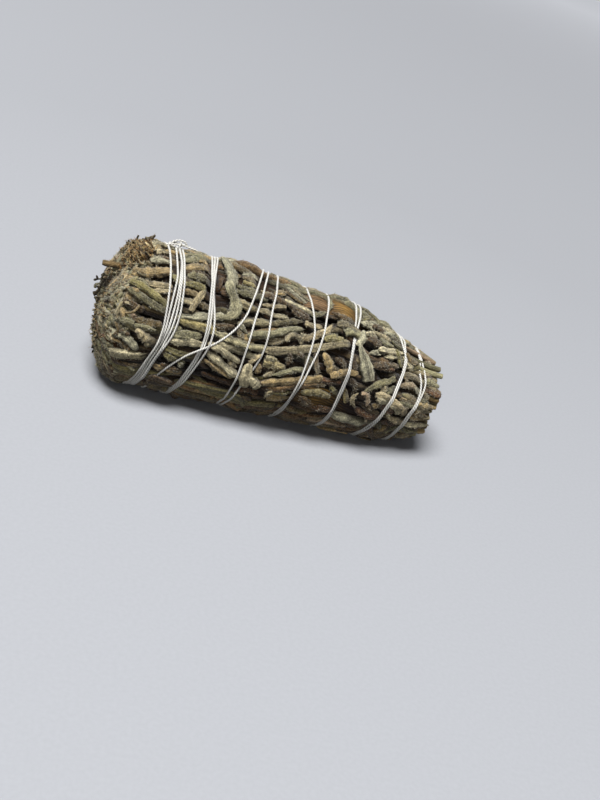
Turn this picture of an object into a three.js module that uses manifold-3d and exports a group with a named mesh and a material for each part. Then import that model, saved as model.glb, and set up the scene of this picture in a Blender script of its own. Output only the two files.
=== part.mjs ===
// A smudge stick: thirty-three sprigs of dried lavender and four rolled blades of citronella
// grass, packed side by side into a blunt, tapered bundle and bound with one length of cotton
// thread. Millimetres, +Z up. The stick lies on its side along X, with its leafy head towards
// -X and its cut stems towards +X, and the sprigs underneath have settled flat.
import * as THREE from "three";
import { mergeVertices } from "three/addons/utils/BufferGeometryUtils.js";
import Module from "manifold-3d";

const wasm = await Module();
wasm.setup();

// Driving dimensions
const stickLength = 116;
const headRadius = 22.7; // the bundle just behind its rounded head
const shoulderRadius = 21.9; // where it starts to taper towards the stems
const shoulderAt = 74;
const tipRadius = 12; // at the cut stems
const taperPower = 1.6;
const tipLift = 4.3; // how far the underside has risen off the surface at the stems
const tipLiftFrom = 96;
const ringCount = 3; // rings of sprigs around the middle one, with six more in each
const sprigGap = 0.3;
const threadRadius = 0.45;
const threadGap = 0.25;
const squeeze = 1.4; // how much thinner the thread pulls a sprig

// How far in from the head and from the cut ends each ring stops, so that both ends are domed.
const headInset = [0, 1.2, 3.6, 7.6];
const stemInset = [0.4, 1.2, 2.2, 5.2];
const raggedness = 2.2;

// The turns of the thread in the order in which it was wound: how far from the head each one
// passes beneath the stick, at turnFrom, and half a turn later over the top of it.
const threadTurns = [
  [14.0, 16.9],
  [15.15, 18.05],
  [16.3, 19.2],
  [19.9, 49.8], // strides from the head binding across the front
  [47.0, 53.4],
  [63.0, 71.2],
  [77.9, 80.6],
  [93.0, 100.2],
  [104.0, 106.6],
  [105.1, 107.8],
  [91.9, 99.0],
  [76.7, 79.4],
  [61.8, 64.2],
  [44.0, 51.3],
  [27.5, 33.3],
  [26.4, 32.2],
  [25.3, 31.1],
  [18.6, 21.5],
  [17.45, 20.35],
];
const turnFrom = 25; // degrees from straight down
const pointsPerTurn = 6 * ringCount;
const knotPlace = 9; // the place in the outer ring, just behind the top, where the thread is tied
const knotRadius = 1.5;
const knotShift = -0.9; // it pulls in the strands on its head side
const knotRise = 0.8;
const tailLength = 5.5;
const tailRise = 1.5;

const rad = THREE.MathUtils.degToRad;

// The bundle's outline
function bundleRadius(x) {
  if (x < shoulderAt)
    return THREE.MathUtils.lerp(headRadius, shoulderRadius, x / shoulderAt);
  const t = (x - shoulderAt) / (stickLength - shoulderAt);
  return THREE.MathUtils.lerp(shoulderRadius, tipRadius, t ** taperPower);
}

function bundleMiddle(x) {
  const t = Math.max(0, (x - tipLiftFrom) / (stickLength - tipLiftFrom));
  return bundleRadius(x) + tipLift * t * t;
}

// Sprigs sit in rings one pitch apart: a middle one, then 6, 12 and 18.
const pitch = (x) => bundleRadius(x) / (ringCount + 0.5);
const sprigRadius = (x) => (pitch(x) - sprigGap) / 2;

// A direction square to X, as an angle in degrees from straight down, round by -Y.
const outward = (angle) => new THREE.Vector3(0, -Math.sin(rad(angle)), -Math.cos(rad(angle)));

// Each place in a ring: its angle, whether it lies on the surface, and how proud it stands.
function placeInRing(ring, index) {
  if (ring === 0) return { ring, index, angle: 0, settled: false, proud: 0 };
  const step = 60 / ring;
  const angle = step * (index + 0.5);
  const fromBottom = Math.min(angle, 360 - angle);
  const settled = ring === ringCount && fromBottom < 1.8 * step;
  const proud = ring === ringCount && !settled ? 0.5 + 0.5 * Math.sin(index * 2.4) : 0;
  return { ring, index, angle, settled, proud };
}

// Inner rings twist a little along the stick; the outer ring runs straight.
const ringTwist = [0, 14, -9, 0];

function sprigCentre(place, x) {
  const { ring, angle, settled, proud } = place;
  const twisted = angle + ringTwist[ring] * (x / stickLength);
  const centre = outward(twisted).multiplyScalar(ring * pitch(x) + proud);
  if (settled) {
    // The four underneath lie side by side on the surface.
    const side = angle < 180 ? -1 : 1;
    const steps = Math.min(angle, 360 - angle) < 20 ? 0.5 : 1.5;
    centre.set(0, side * steps * 1.06 * pitch(x), -ring * pitch(x));
  }
  return centre.add(new THREE.Vector3(x, 0, bundleMiddle(x)));
}

const outerRing = Array.from({ length: 6 * ringCount }, (_, i) => placeInRing(ringCount, i));

// The thread's path: how far along the stick it is after so many turns from straight down.
const crossings = threadTurns.flat();

function threadAlong(turns) {
  const halfTurns = 2 * (turns - turnFrom / 360);
  const last = Math.max(0, Math.min(Math.floor(halfTurns), crossings.length - 1));
  const here = crossings[last];
  const next = crossings[Math.min(last + 1, crossings.length - 1)];
  const share = Math.max(0, halfTurns - last);
  return here + ((next - here) * (1 - Math.cos(Math.PI * share))) / 2;
}

// Where the thread bears on a sprig of the outer ring: outside its squeezed section, far enough
// out for straight runs of thread between sprigs to clear it.
function bearingPoint(index, x) {
  const count = outerRing.length;
  const here = sprigCentre(outerRing[index], x);
  const before = sprigCentre(outerRing[(index + count - 1) % count], x).sub(here);
  const after = sprigCentre(outerRing[(index + 1) % count], x).sub(here);
  const halfTurn = (Math.PI - before.angleTo(after)) / 2;
  const along = after.clone().normalize().sub(before.clone().normalize());
  const normal = new THREE.Vector3(0, along.z, -along.y).normalize();
  if (normal.dot(outward(outerRing[index].angle)) < 0) normal.negate();
  const reach = (sprigRadius(x) - squeeze + threadRadius + threadGap) / Math.cos(halfTurn);
  return { point: here.addScaledVector(normal, reach), normal };
}

const threadSteps = [];
for (let i = 0; i <= (threadTurns.length - 1) * pointsPerTurn + knotPlace; i++) {
  const turns = (i + 0.5) / pointsPerTurn;
  const x = threadAlong(turns);
  threadSteps.push({ index: i % pointsPerTurn, x, ...bearingPoint(i % pointsPerTurn, x) });
}

// Meshes from rings of points
function loft(rings) {
  const sides = rings[0].length;
  const positions = rings.flat().flatMap((p) => p.toArray());
  const faces = [];
  for (let r = 0; r + 1 < rings.length; r++)
    for (let s = 0; s < sides; s++) {
      const a = r * sides + s;
      const b = r * sides + ((s + 1) % sides);
      faces.push(a, b, b + sides, a, b + sides, a + sides);
    }
  for (let s = 1; s + 1 < sides; s++) {
    const last = (rings.length - 1) * sides;
    faces.push(0, s + 1, s, last, last + s, last + s + 1);
  }
  const geometry = new THREE.BufferGeometry();
  geometry.setAttribute("position", new THREE.Float32BufferAttribute(positions, 3));
  geometry.setIndex(faces);
  return geometry;
}

// A ring of points round centre in the plane of u and v, going from u towards v.
function ringOfPoints(centre, u, v, sides, radiusU, radiusV, turn = 0) {
  return Array.from({ length: sides }, (_, s) => {
    const a = (2 * Math.PI * (s + turn)) / sides;
    return centre
      .clone()
      .addScaledVector(u, radiusU * Math.cos(a))
      .addScaledVector(v, radiusV * Math.sin(a));
  });
}

// The stretches of a sprig that the thread squeezes, as [from, to] pairs along X.
const bite = 1.0;
const shortestCrest = 2.2;

function squeezedStretches(index) {
  const crossings = [];
  threadSteps.forEach((step, i) => {
    if (step.index !== index) return;
    // The thread lies over this sprig from half way to the last one to half way to the next.
    const before = threadSteps[i - 1] ?? step;
    const after = threadSteps[i + 1] ?? step;
    const ends = [(before.x + step.x) / 2, (step.x + after.x) / 2];
    crossings.push([Math.min(...ends) - bite, Math.max(...ends) + bite]);
  });
  const stretches = [];
  for (const [start, end] of crossings.sort((a, b) => a[0] - b[0])) {
    const last = stretches.at(-1);
    if (last && start - last[1] < shortestCrest) last[1] = Math.max(last[1], end);
    else stretches.push([start, end]);
  }
  return stretches;
}

// Stations along an outer sprig: [x, thinned by the thread or not], a crest between each two
// squeezed stretches.
const ramp = 1.5;
const longestStep = 8;

function outerStations(index, from, to) {
  const stations = [];
  let free = from + 4;
  for (const [start, end] of squeezedStretches(index)) {
    const room = start - free;
    if (room > 2 * ramp + 2) stations.push([free + ramp, false], [start - ramp, false]);
    else stations.push([free + room / 2, false]);
    const steps = Math.ceil((end - start) / longestStep);
    for (let i = 0; i <= steps; i++) stations.push([start + ((end - start) * i) / steps, true]);
    free = end;
  }
  stations.push([Math.min(free + ramp, to - 0.5), false], [to, false]);
  return stations;
}

const innerStations = [30, 58, 80, 88, 96, 104];

// Sprig sections: round for lavender; a citronella blade is rolled flat against the outside.
const sections = {
  lavender: { deep: 1, shift: 0 },
  citronella: { deep: 0.6, shift: 0.4 },
};

// A sprig grows from a small rounded leafy end at the head to a flat cut stem.
function sprigGeometry(place, herb) {
  const { ring, index, angle, settled } = place;
  const ragged = raggedness * Math.sin(index * 2.1 + ring * 1.7);
  const from = headInset[ring] + (ring ? 0.4 * raggedness + 0.4 * ragged : 0);
  const to = stickLength - stemInset[ring] - (ring ? 0.5 * raggedness + 0.5 * ragged : 0);
  const isOuter = ring === ringCount;
  const middle = isOuter
    ? outerStations(index, from, to)
    : [...innerStations.filter((x) => x < to - 4), to].map((x) => [x, false]);
  const sides = isOuter ? 8 : 6;
  const u = settled ? outward(0) : outward(angle);
  const v = new THREE.Vector3(1, 0, 0).cross(u);
  const { deep, shift } = sections[herb];
  const ringAt = (x, radius) => {
    // An eight-sided section turns a flat side outwards; its flats are radius from the middle.
    const reach = isOuter ? radius / Math.cos(Math.PI / sides) : radius;
    const centre = sprigCentre(place, x).addScaledVector(u, shift * radius);
    return ringOfPoints(centre, u, v, sides, reach * deep, reach, 0.5);
  };
  return loft([
    ringAt(from, 0.4 * sprigRadius(from)),
    ringAt(from + 1.4, 0.8 * sprigRadius(from)),
    ringAt(from + 4, sprigRadius(from + 4)),
    ...middle.map(([x, thinned]) => ringAt(x, sprigRadius(x) - (thinned ? squeeze : 0))),
  ]);
}

// The thread, wound, knotted on top of the head binding and cut to two short tails
function tube(points, radius, sides, normals) {
  return loft(
    points.map((point, i) => {
      const before = points[Math.max(0, i - 1)];
      const after = points[Math.min(points.length - 1, i + 1)];
      const forward = after.clone().sub(before).normalize();
      const v = forward.clone().cross(normals[i]).normalize();
      const u = v.clone().cross(forward);
      return ringOfPoints(point, u, v, sides, radius, radius);
    }),
  );
}

function solidOf(geometry) {
  const bare = geometry.clone();
  bare.deleteAttribute("normal");
  bare.deleteAttribute("uv");
  const merged = mergeVertices(bare, 1e-4);
  const mesh = new wasm.Mesh({
    numProp: 3,
    vertProperties: merged.attributes.position.array,
    triVerts: new Uint32Array(merged.index.array),
  });
  return new wasm.Manifold(mesh);
}

function geometryOf(solid) {
  const { vertProperties, triVerts } = solid.getMesh();
  const geometry = new THREE.BufferGeometry();
  geometry.setAttribute("position", new THREE.BufferAttribute(vertProperties, 3));
  geometry.setIndex(new THREE.BufferAttribute(triVerts, 1));
  return geometry;
}

function threadGeometry() {
  const up = new THREE.Vector3(0, 0, 1);
  const wound = tube(
    threadSteps.map((p) => p.point),
    threadRadius,
    6,
    threadSteps.map((p) => p.normal),
  );
  // The knot sits where the last turn ends, on the top of the head binding.
  const knotAt = threadSteps.at(-1).point.clone();
  knotAt.x += knotShift;
  const knot = new THREE.SphereGeometry(knotRadius, 8, 6);
  knot.scale(1.2, 1, 0.7).translate(knotAt.x, knotAt.y, knotAt.z + knotRise);
  const tails = [-1, 1].map((side) => {
    const path = [0, 0.4, 0.75, 1].map((t) =>
      knotAt
        .clone()
        .add(new THREE.Vector3(side * tailLength * t, side * t, knotRise + tailRise * Math.sin(2 * t))),
    );
    return tube(path, threadRadius, 6, Array(path.length).fill(up));
  });
  return geometryOf([knot, ...tails].reduce((s, g) => s.add(solidOf(g)), solidOf(wound)));
}

// Materials
const material = (color, roughness) =>
  new THREE.MeshStandardMaterial({ color, roughness, metalness: 0 });
const driedLavender = material(0x8b8672, 0.95);
const driedGrass = material(0x94734a, 0.85);
const cotton = material(0xe9e6da, 0.9);

// The bundle
const smudgeStick = new THREE.Group();
const citronellaPlaces = [2, 8, 13, 16];
let lavenderCount = 0;

function addSprig(place) {
  const blade = place.ring === ringCount ? citronellaPlaces.indexOf(place.index) : -1;
  const herb = blade < 0 ? "lavender" : "citronella";
  const finish = blade < 0 ? driedLavender : driedGrass;
  const mesh = new THREE.Mesh(sprigGeometry(place, herb), finish);
  if (blade < 0) {
    lavenderCount += 1;
    mesh.name = `lavender_sprig_${String(lavenderCount).padStart(2, "0")}`;
  } else mesh.name = `citronella_blade_${blade + 1}`;
  smudgeStick.add(mesh);
}

for (let ring = 0; ring <= ringCount; ring++)
  for (let index = 0; index < Math.max(1, 6 * ring); index++) addSprig(placeInRing(ring, index));

const thread = new THREE.Mesh(threadGeometry(), cotton);
thread.name = "binding_thread";
smudgeStick.add(thread);

// The origin is on the surface, under the middle of the stick.
const extent = new THREE.Box3().setFromObject(smudgeStick);
const middle = extent.getCenter(new THREE.Vector3());
smudgeStick.children.forEach((mesh) => mesh.position.set(-middle.x, -middle.y, -extent.min.z));

export default smudgeStick;
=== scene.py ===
import math
import bpy
import numpy as np
from mathutils import Matrix, Vector


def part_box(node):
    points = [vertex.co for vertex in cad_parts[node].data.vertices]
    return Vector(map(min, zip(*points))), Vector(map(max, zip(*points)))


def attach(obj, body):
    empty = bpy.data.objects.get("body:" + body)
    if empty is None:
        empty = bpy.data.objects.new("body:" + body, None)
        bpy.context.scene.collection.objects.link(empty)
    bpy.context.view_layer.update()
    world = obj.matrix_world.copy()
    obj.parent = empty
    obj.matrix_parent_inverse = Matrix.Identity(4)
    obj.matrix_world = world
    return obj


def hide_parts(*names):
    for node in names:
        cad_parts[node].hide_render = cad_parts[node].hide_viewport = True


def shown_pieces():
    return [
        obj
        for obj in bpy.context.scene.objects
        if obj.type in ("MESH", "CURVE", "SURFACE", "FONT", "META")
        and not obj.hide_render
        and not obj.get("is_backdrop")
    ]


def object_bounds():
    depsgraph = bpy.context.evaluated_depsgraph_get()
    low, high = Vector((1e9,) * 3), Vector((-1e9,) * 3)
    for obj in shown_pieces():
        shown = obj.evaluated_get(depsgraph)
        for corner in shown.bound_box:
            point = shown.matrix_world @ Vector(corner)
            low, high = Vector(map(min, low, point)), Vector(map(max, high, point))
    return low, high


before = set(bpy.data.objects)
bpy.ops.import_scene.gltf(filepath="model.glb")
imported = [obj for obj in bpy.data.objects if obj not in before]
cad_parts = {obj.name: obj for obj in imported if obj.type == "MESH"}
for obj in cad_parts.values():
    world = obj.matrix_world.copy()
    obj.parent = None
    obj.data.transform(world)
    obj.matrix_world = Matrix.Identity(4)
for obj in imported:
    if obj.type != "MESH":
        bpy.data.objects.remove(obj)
cadLow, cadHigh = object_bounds()
mm = 0.001  # shapes are worked out in millimetres and go into the meshes in metres
chance = np.random.default_rng(11)

# Places on the stick are (x, angle, rho): millimetres from the leafy head, degrees from straight
# down going round by the front, and millimetres out from the middle of the bundle.
stick = {
    "headX": cadLow.x / mm,
    "length": (cadHigh.x - cadLow.x) / mm,
    "headRadius": 22.7,
    "shoulderRadius": 21.9,
    "shoulderAt": 74.0,
    "tipRadius": 12.0,
    "taperPower": 1.6,
    "tipLift": 4.3,  # how far the underside has risen off the surface at the stems
    "tipLiftFrom": 96.0,
    "settled": 0.15,  # how much lower its middle lies than its radius, and how much wider it spreads
    "spread": 1.2,
    "lowWidth": 62,  # degrees over which the underside's shape fades out
    "headRound": 9.0,  # how far back the head is rounded, and how much further on the underside
    "headRoundLow": 3.5,
    "headDome": 7.6,  # how far in the head is at its rim
    "headLow": 0.8,  # how much further in it is on the underside, and on the upper front
    "headHigh": 2.2,
    "highAt": 158,
    "highWidth": 34,
    "domeRadius": 18.9,
    "notch": 5.0,  # a hollow across the upper half of its face
    "core": 0.66,  # share of the radius that the inner sprigs fill
    "lumps": 0.5,
    "topAt": 185,
    "topWidth": 42,
    "topShape": [(1.3, 36, 24), (-1.3, 4, 6), (-1.3, 66, 11), (-0.8, 86, 6), (0.9, 102, 8)],  # rise, at, wide
}
outOfReach = 99  # farther out than anything on the stick


# The radius at x: nearly even as far as the shoulder, then falling by a power of the distance
# past it to the narrow end.
def bundleRadius(x):
    t = np.clip((x - stick["shoulderAt"]) / (stick["length"] - stick["shoulderAt"]), 0, 1)
    drop = (stick["shoulderRadius"] - stick["headRadius"]) * np.clip(x / stick["shoulderAt"], 0, 1)
    narrowing = (stick["tipRadius"] - stick["shoulderRadius"]) * t ** stick["taperPower"]
    return stick["headRadius"] + drop + narrowing


# The height of the middle: the radius, less how far it settles, and at the narrow end lifted by
# the square of the distance.
def bundleMiddle(x):
    t = np.clip((x - stick["tipLiftFrom"]) / (stick["length"] - stick["tipLiftFrom"]), 0, None)
    return bundleRadius(x) + stick["tipLift"] * t * t - stick["settled"]


# (x, angle, rho) as points, in millimetres: out from the middle at that angle.
def placeOf(x, angle, rho):
    a = np.radians(angle)
    x, a, rho = np.broadcast_arrays(x, a, rho)
    return np.stack([stick["headX"] + x, -np.sin(a) * rho, bundleMiddle(x) - np.cos(a) * rho], -1)


# Points as (x, angle, rho).
def whereIs(points):
    x = points[..., 0] - stick["headX"]
    down = bundleMiddle(x) - points[..., 2]
    return x, np.degrees(np.arctan2(-points[..., 1], down)) % 360, np.hypot(points[..., 1], down)


# How far a place counts as the underside: a bell curve of its angle from straight down.
def lowShare(angle):
    return np.exp(-(np.minimum(angle % 360, -angle % 360) / stick["lowWidth"]) ** 2)


# How much further in than a round dome the rim of the head is, at each angle.
def setBack(angle):
    high = np.exp(-((angle - stick["highAt"]) / stick["highWidth"]) ** 2)
    return stick["headLow"] * lowShare(angle) + stick["headHigh"] * high


# How far out the floor is for what stays gap above it, and out of reach round the sides.
def toFloor(x, angle, gap):
    down = np.cos(np.radians(angle))
    return np.where(down > 0.3, (bundleMiddle(x) - gap) / np.maximum(down, 0.3), outOfReach)


# The bundle's surface: the radius, times the root of one minus most of the square of the way into
# the rounded head, with bell-shaped rises along the top and low lumps, settled flat on the floor.
def surfaceRadius(x, angle):
    rounded = stick["headRound"] + stick["headRoundLow"] * lowShare(angle)
    head = np.clip((rounded + setBack(angle) - x) / rounded, 0, 1)
    a = np.radians(angle)
    r = bundleRadius(x) * np.sqrt(1 - 0.9 * head ** 2)
    onTop = np.exp(-((angle - stick["topAt"]) / stick["topWidth"]) ** 2)
    r = r + onTop * sum(rise * np.exp(-((x - at) / width) ** 2) for rise, at, width in stick["topShape"])
    r = r + stick["lumps"] * (np.sin(3 * a + x / 9) * np.sin(x / 6.5 + 1) + 0.5 * np.sin(5 * a - x / 5))
    spread = stick["spread"] * np.clip((np.cos(a) - 0.8) / 0.1, 0, 1)
    return np.minimum(r + spread, toFloor(x, angle, 0.1))


# Values evened out by a bell curve width places wide.
def smoothed(values, width):
    reach = int(3 * width) + 1
    kernel = np.exp(-0.5 * (np.arange(-reach, reach + 1) / width) ** 2)
    padded = np.pad(values, reach, mode="edge")
    return np.convolve(padded, kernel / kernel.sum(), "valid")


# The thread's turns, in the order in which it was wound: x where each passes beneath, x at each of
# the front's angles, and x over the top. The leaves are drawn in beneath them.
thread = {
    "beneathAt": 25,
    "overAt": 205,
    "frontAt": (45, 60, 75, 90, 105, 120, 135, 150, 165, 180, 195),
    "turns": [
        (13.2, 14.4, 15.4, 16.5, 18.0, 18.8, 18.4, 17.9, 17.5, 17.0, 16.4, 15.9, 15.7),
        (14.2, 15.2, 16.2, 17.2, 18.7, 19.5, 19.4, 19.5, 19.7, 19.4, 19.0, 18.5, 18.2),
        (14.9, 15.9, 16.9, 18.0, 19.4, 20.2, 20.6, 20.8, 20.5, 20.4, 19.9, 19.4, 19.1),
        (19.6, 20.1, 20.7, 23.4, 27.8, 35.0, 40.2, 42.8, 43.9, 45.2, 46.4, 47.6, 48.4),
        (44.8, 45.3, 46.0, 47.2, 48.9, 50.1, 50.2, 50.1, 50.4, 51.2, 51.8, 52.6, 53.0),
        (62.8, 63.1, 63.5, 64.0, 64.7, 65.8, 67.1, 67.8, 68.3, 69.0, 69.4, 69.9, 70.2),
        (77.6, 77.9, 78.3, 78.5, 78.5, 78.6, 78.3, 78.6, 79.1, 80.2, 81.2, 81.9, 82.3),
        (92.0, 92.6, 93.6, 94.9, 95.7, 96.8, 97.7, 98.5, 99.1, 98.6, 98.8, 99.3, 99.7),
        (103.0, 103.2, 103.5, 103.9, 104.3, 105.3, 106.1, 105.9, 105.0, 105.7, 105.2, 105.0, 105.1),
        (103.9, 104.0, 104.3, 104.7, 105.0, 105.8, 107.0, 107.9, 107.4, 106.4, 105.8, 105.6, 105.6),
        (91.1, 91.6, 92.8, 94.3, 95.1, 96.2, 97.1, 98.0, 98.5, 97.4, 96.8, 96.8, 97.0),
        (76.8, 77.2, 77.6, 77.8, 77.9, 78.0, 78.0, 78.1, 78.4, 79.0, 79.5, 79.9, 80.2),
        (62.0, 62.3, 62.8, 63.1, 63.7, 64.2, 64.6, 64.9, 64.1, 63.3, 62.7, 62.6, 62.6),
        (43.4, 43.6, 43.9, 44.4, 44.6, 44.6, 44.9, 45.4, 46.4, 47.2, 48.3, 49.3, 50.0),
        (27.0, 28.2, 30.1, 31.4, 32.5, 33.5, 33.3, 32.3, 31.5, 31.4, 31.9, 32.5, 32.8),
        (26.2, 27.5, 29.3, 30.6, 31.5, 32.3, 32.0, 31.6, 31.1, 30.8, 31.1, 31.7, 32.0),
        (25.5, 26.9, 28.6, 29.9, 30.8, 31.6, 31.2, 30.9, 30.4, 30.2, 30.4, 30.8, 31.1),
        (16.2, 16.9, 18.0, 18.9, 20.5, 22.2, 22.6, 22.2, 21.6, 21.2, 20.9, 20.7, 20.8),
        (15.6, 16.4, 17.5, 18.5, 20.0, 21.1, 21.7, 21.4, 20.9, 20.3, 19.6, 19.8, 20.0),
    ],
    "backSteps": 6,
    "knotAngle": 190,
    "radius": 0.29,
    "valley": 0.6,
    "valleyWidth": 1.4,
    "press": 0.45,
    "tightened": 900,  # rounds of pulling it straight
    "wander": 0.35,  # strands stray this far at the back, so that neighbours close up, part and cross
}


# x of each turn at each whole degree: through the table's places, and at the back from one turn
# to the next with a half cosine, all smoothed.
def turnPaths():
    table = np.array(thread["turns"])
    ahead = np.append(table[1:, 0], table[-1, 0])
    steps = np.arange(1, thread["backSteps"])
    eased = (1 - np.cos(np.pi * steps / thread["backSteps"])) / 2
    back = table[:, -1:] + (ahead - table[:, -1])[:, None] * eased
    stepBack = (360 + thread["beneathAt"] - thread["overAt"]) // thread["backSteps"]
    angles = (thread["beneathAt"], *thread["frontAt"], thread["overAt"],
              *(thread["overAt"] + stepBack * steps))
    angles = np.array(angles) + 360 * np.arange(len(table))[:, None]
    degrees = np.arange(360 * len(table)) + thread["beneathAt"]
    stray = np.sin(degrees / 71.0 + 2 * np.sin(degrees / 517.0))
    stray = stray + 0.6 * np.sin(degrees / 33.0 + np.sin(degrees / 211.0))
    atBack = np.clip(np.cos(np.radians(degrees - 290)) * 1.6, 0, 1)
    path = np.interp(degrees, angles.ravel(), np.hstack([table, back]).ravel())
    return (smoothed(path, 5) + thread["wander"] * stray * atBack).reshape(-1, 360)


woundX = turnPaths()
turnX = np.roll(woundX, thread["beneathAt"], axis=1)  # the same, with each row from straight down

# The bed is how high the pile of leaves stands at each place, up to a ceiling at the surface. A
# leaf is stiff over so many mm, dips into gaps by no more than bridged, rests with a share of its
# thickness sunkIn, and is evened over so many mm.
bed = {"step": 0.5, "degrees": 2, "coreBelow": 3, "stiff": 2.6, "bridged": 0.5, "sunkIn": 0.4, "evened": 0.9}
bedX = np.arange(0, stick["length"] + bed["step"], bed["step"])
bedAngle = np.arange(0, 360, bed["degrees"])
fromThread = (bedX[:, None, None] - turnX[:, bedAngle].T[None]) / thread["valleyWidth"]
drawnIn = thread["valley"] * np.exp(-fromThread ** 2).max(-1)
ceiling = surfaceRadius(bedX[:, None], bedAngle[None, :]) - drawnIn
height = np.minimum(stick["core"] * bundleRadius(bedX)[:, None], ceiling - bed["coreBelow"])
hollow = np.zeros(ceiling.shape)  # how far below the ceiling a place is meant to stay


# The bed's rows and columns nearest to some places.
def cell(x, angle):
    ix = np.clip(np.rint(x / bed["step"]).astype(int), 0, len(bedX) - 1)
    return ix, np.rint(angle / bed["degrees"]).astype(int) % len(bedAngle)


# A path moved sideways over the bundle by each offset in mm.
def across(x, angle, offsets):
    stepX, stepRound = np.gradient(x), np.gradient(np.radians(angle)) * bundleRadius(x)
    long = np.hypot(stepX, stepRound) + 1e-9
    xs = x - np.multiply.outer(offsets, stepRound / long)
    return xs, angle + np.degrees(np.multiply.outer(offsets, stepX / long) / bundleRadius(xs))


# How high a leaf lies: on the highest things beneath it, stiff enough to bridge the gaps, and no
# higher than the ceiling, less that share of the hollow there, plus how proud it stands; and no
# more than deepest under that.
def lieOn(x, angle, width, thick, proud=0.0, spare=0.0, deepest=30):
    xs, angles = across(x, angle, np.array([-0.3, 0, 0.3]) * width)
    below = height[cell(xs, angles)]
    below = (below.mean(0) + below.max(0)) / 2
    spacing = np.hypot(np.diff(x), np.diff(np.radians(angle)) * bundleRadius(x[1:])).mean() + 1e-6
    stiff = smoothed(below, bed["stiff"] / spacing)
    rho = np.maximum(stiff, below - bed["bridged"]) + bed["sunkIn"] * thick
    top = (ceiling - spare * hollow)[cell(x, angle)] + proud - thick / 2
    return smoothed(np.clip(rho, top - deepest, smoothed(top, 0.5 / spacing)), bed["evened"] / spacing)


# Raises the bed by a leaf: half an ellipse across it, as thick as the leaf in its middle.
def addToBed(x, angle, rho, width, thick):
    offsets = np.linspace(-0.45, 0.45, max(3, int(width / 0.5))) * width
    fine = np.linspace(0, len(x) - 1, 3 * len(x))
    x, angle, rho = (np.interp(fine, np.arange(len(x)), v) for v in (x, angle, rho))
    at = cell(*across(x, angle, offsets))
    np.maximum.at(height, at, rho + 0.5 * thick * np.sqrt(1 - (offsets / width * 2) ** 2)[:, None])


# Walks over the bundle, each out from its middle, its heading turning steadily by bend, to and
# fro by sway, and sharply by kink part of the way along.
def walks(x, angle, heading, length, bend, sway, kink, kinkAt, count):
    x, angle, heading, length, bend, sway, kink, kinkAt = (
        np.asarray(v, float)[:, None] for v in (x, angle, heading, length, bend, sway, kink, kinkAt))
    s = np.linspace(-0.5, 0.5, count)[None, :]
    turn = heading + bend * s + sway * np.sin(2 * np.pi * s) + kink / (1 + np.exp(-(s - kinkAt) * 22))
    along = np.cumsum(np.cos(turn), 1) * length / (count - 1)
    aside = np.cumsum(np.sin(turn), 1) * length / (count - 1)
    mid = count // 2
    xs = x + along - along[:, mid:mid + 1]
    return xs, angle + np.degrees((aside - aside[:, mid:mid + 1]) / bundleRadius(xs))


# A smooth path through a few points: Catmull-Rom, each stretch a cubic of its four nearest.
def throughPoints(points, count):
    p = np.array(points, float)
    p = np.concatenate([2 * p[:1] - p[1:2], p, 2 * p[-1:] - p[-2:-1]])
    t = np.linspace(0, len(p) - 3 - 1e-6, count)
    i = t.astype(int)
    f = (t - i)[:, None]
    a, b, c, d = p[i], p[i + 1], p[i + 2], p[i + 3]
    return 0.5 * (2 * b + (c - a) * f + (2 * a - 5 * b + 4 * c - d) * f ** 2
                  + (3 * b - a - 3 * c + d) * f ** 3)


# Colours that the dried lavender has faded to. The darkest, drab, rust and umber, are partly painted
# shade where they go on leaves lying low in gaps and on the underside.
leafColours = {
    "tan": "#bda26f",
    "paleTan": "#d6c397",
    "greyTan": "#ab9d7a",
    "sage": "#9a9470",
    "silver": "#c0ba9a",
    "olive": "#908653",
    "straw": "#b0a068",
    "brown": "#83633a",
    "rose": "#b79c7c",
    "moss": "#7a7453",
    "drab": "#705c36",
    "rust": "#714a24",
    "cream": "#e0d3aa",
    "umber": "#523b1b",
    "twig": "#2f261b",
    "amber": "#c0914a",
}


# An sRGB hex colour as linear red, green and blue.
def linear(hexColour):
    c = np.array([int(hexColour[i:i + 2], 16) for i in (1, 3, 5)]) / 255
    return np.where(c < 0.04045, c / 12.92, ((c + 0.055) / 1.055) ** 2.4)


# How often each colour comes up along the body, at the stems, at the head, and on the belly, whose
# dark browns are partly painted shade on the underside.
colourShare = {
    "body": {"tan": 26, "paleTan": 12, "greyTan": 24, "sage": 11, "olive": 9, "straw": 3, "brown": 9,
             "rose": 6},
    "stems": {"tan": 4, "greyTan": 22, "sage": 30, "silver": 10, "moss": 15, "brown": 8, "rose": 3,
              "drab": 10},
    "head": {"tan": 6, "greyTan": 16, "sage": 28, "silver": 12, "olive": 10, "moss": 12, "umber": 12,
             "drab": 4},
    "belly": {"umber": 34, "brown": 26, "rust": 16, "drab": 14, "olive": 6, "tan": 4},
}


# A colour for a place: more often the stems' towards the narrow end and over the top, the head's
# in the first millimetres, and the belly's, partly painted shade, underneath.
def colourAt(x, angle):
    where = "body"
    if chance.random() < np.clip((x - 74) / 16, 0, 1) * np.clip((min(angle, 360 - angle) - 48) / 20, 0.1, 1):
        where = "stems"
    elif chance.random() < 1.2 - abs(angle - 190) / 20:
        where = "stems"
    elif chance.random() < np.clip((9 - x) / 6, 0, 0.95):
        where = "head"
    elif chance.random() < np.clip((76 - min(angle, 360 - angle)) / 14, 0, 0.95):
        where = "belly"
    names, shares = zip(*colourShare[where].items())
    return chance.choice(names, p=np.array(shares) / sum(shares))


leafPoints = 24
leaves = []  # every leaf lying on the bundle, with its path, size and colour


# Lays a leaf on the bed along a path, and raises the bed by it.
def lay(x, angle, width, thick, colour, proud=0.0, spare=0.0, deepest=30, **more):
    rho = lieOn(x, angle, width, thick, proud, spare, deepest)
    addToBed(x, angle, rho, width, thick)
    leaves.append({"x": x, "angle": angle, "rho": rho, "width": width, "thick": thick,
                   "colour": colour, **more})


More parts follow.
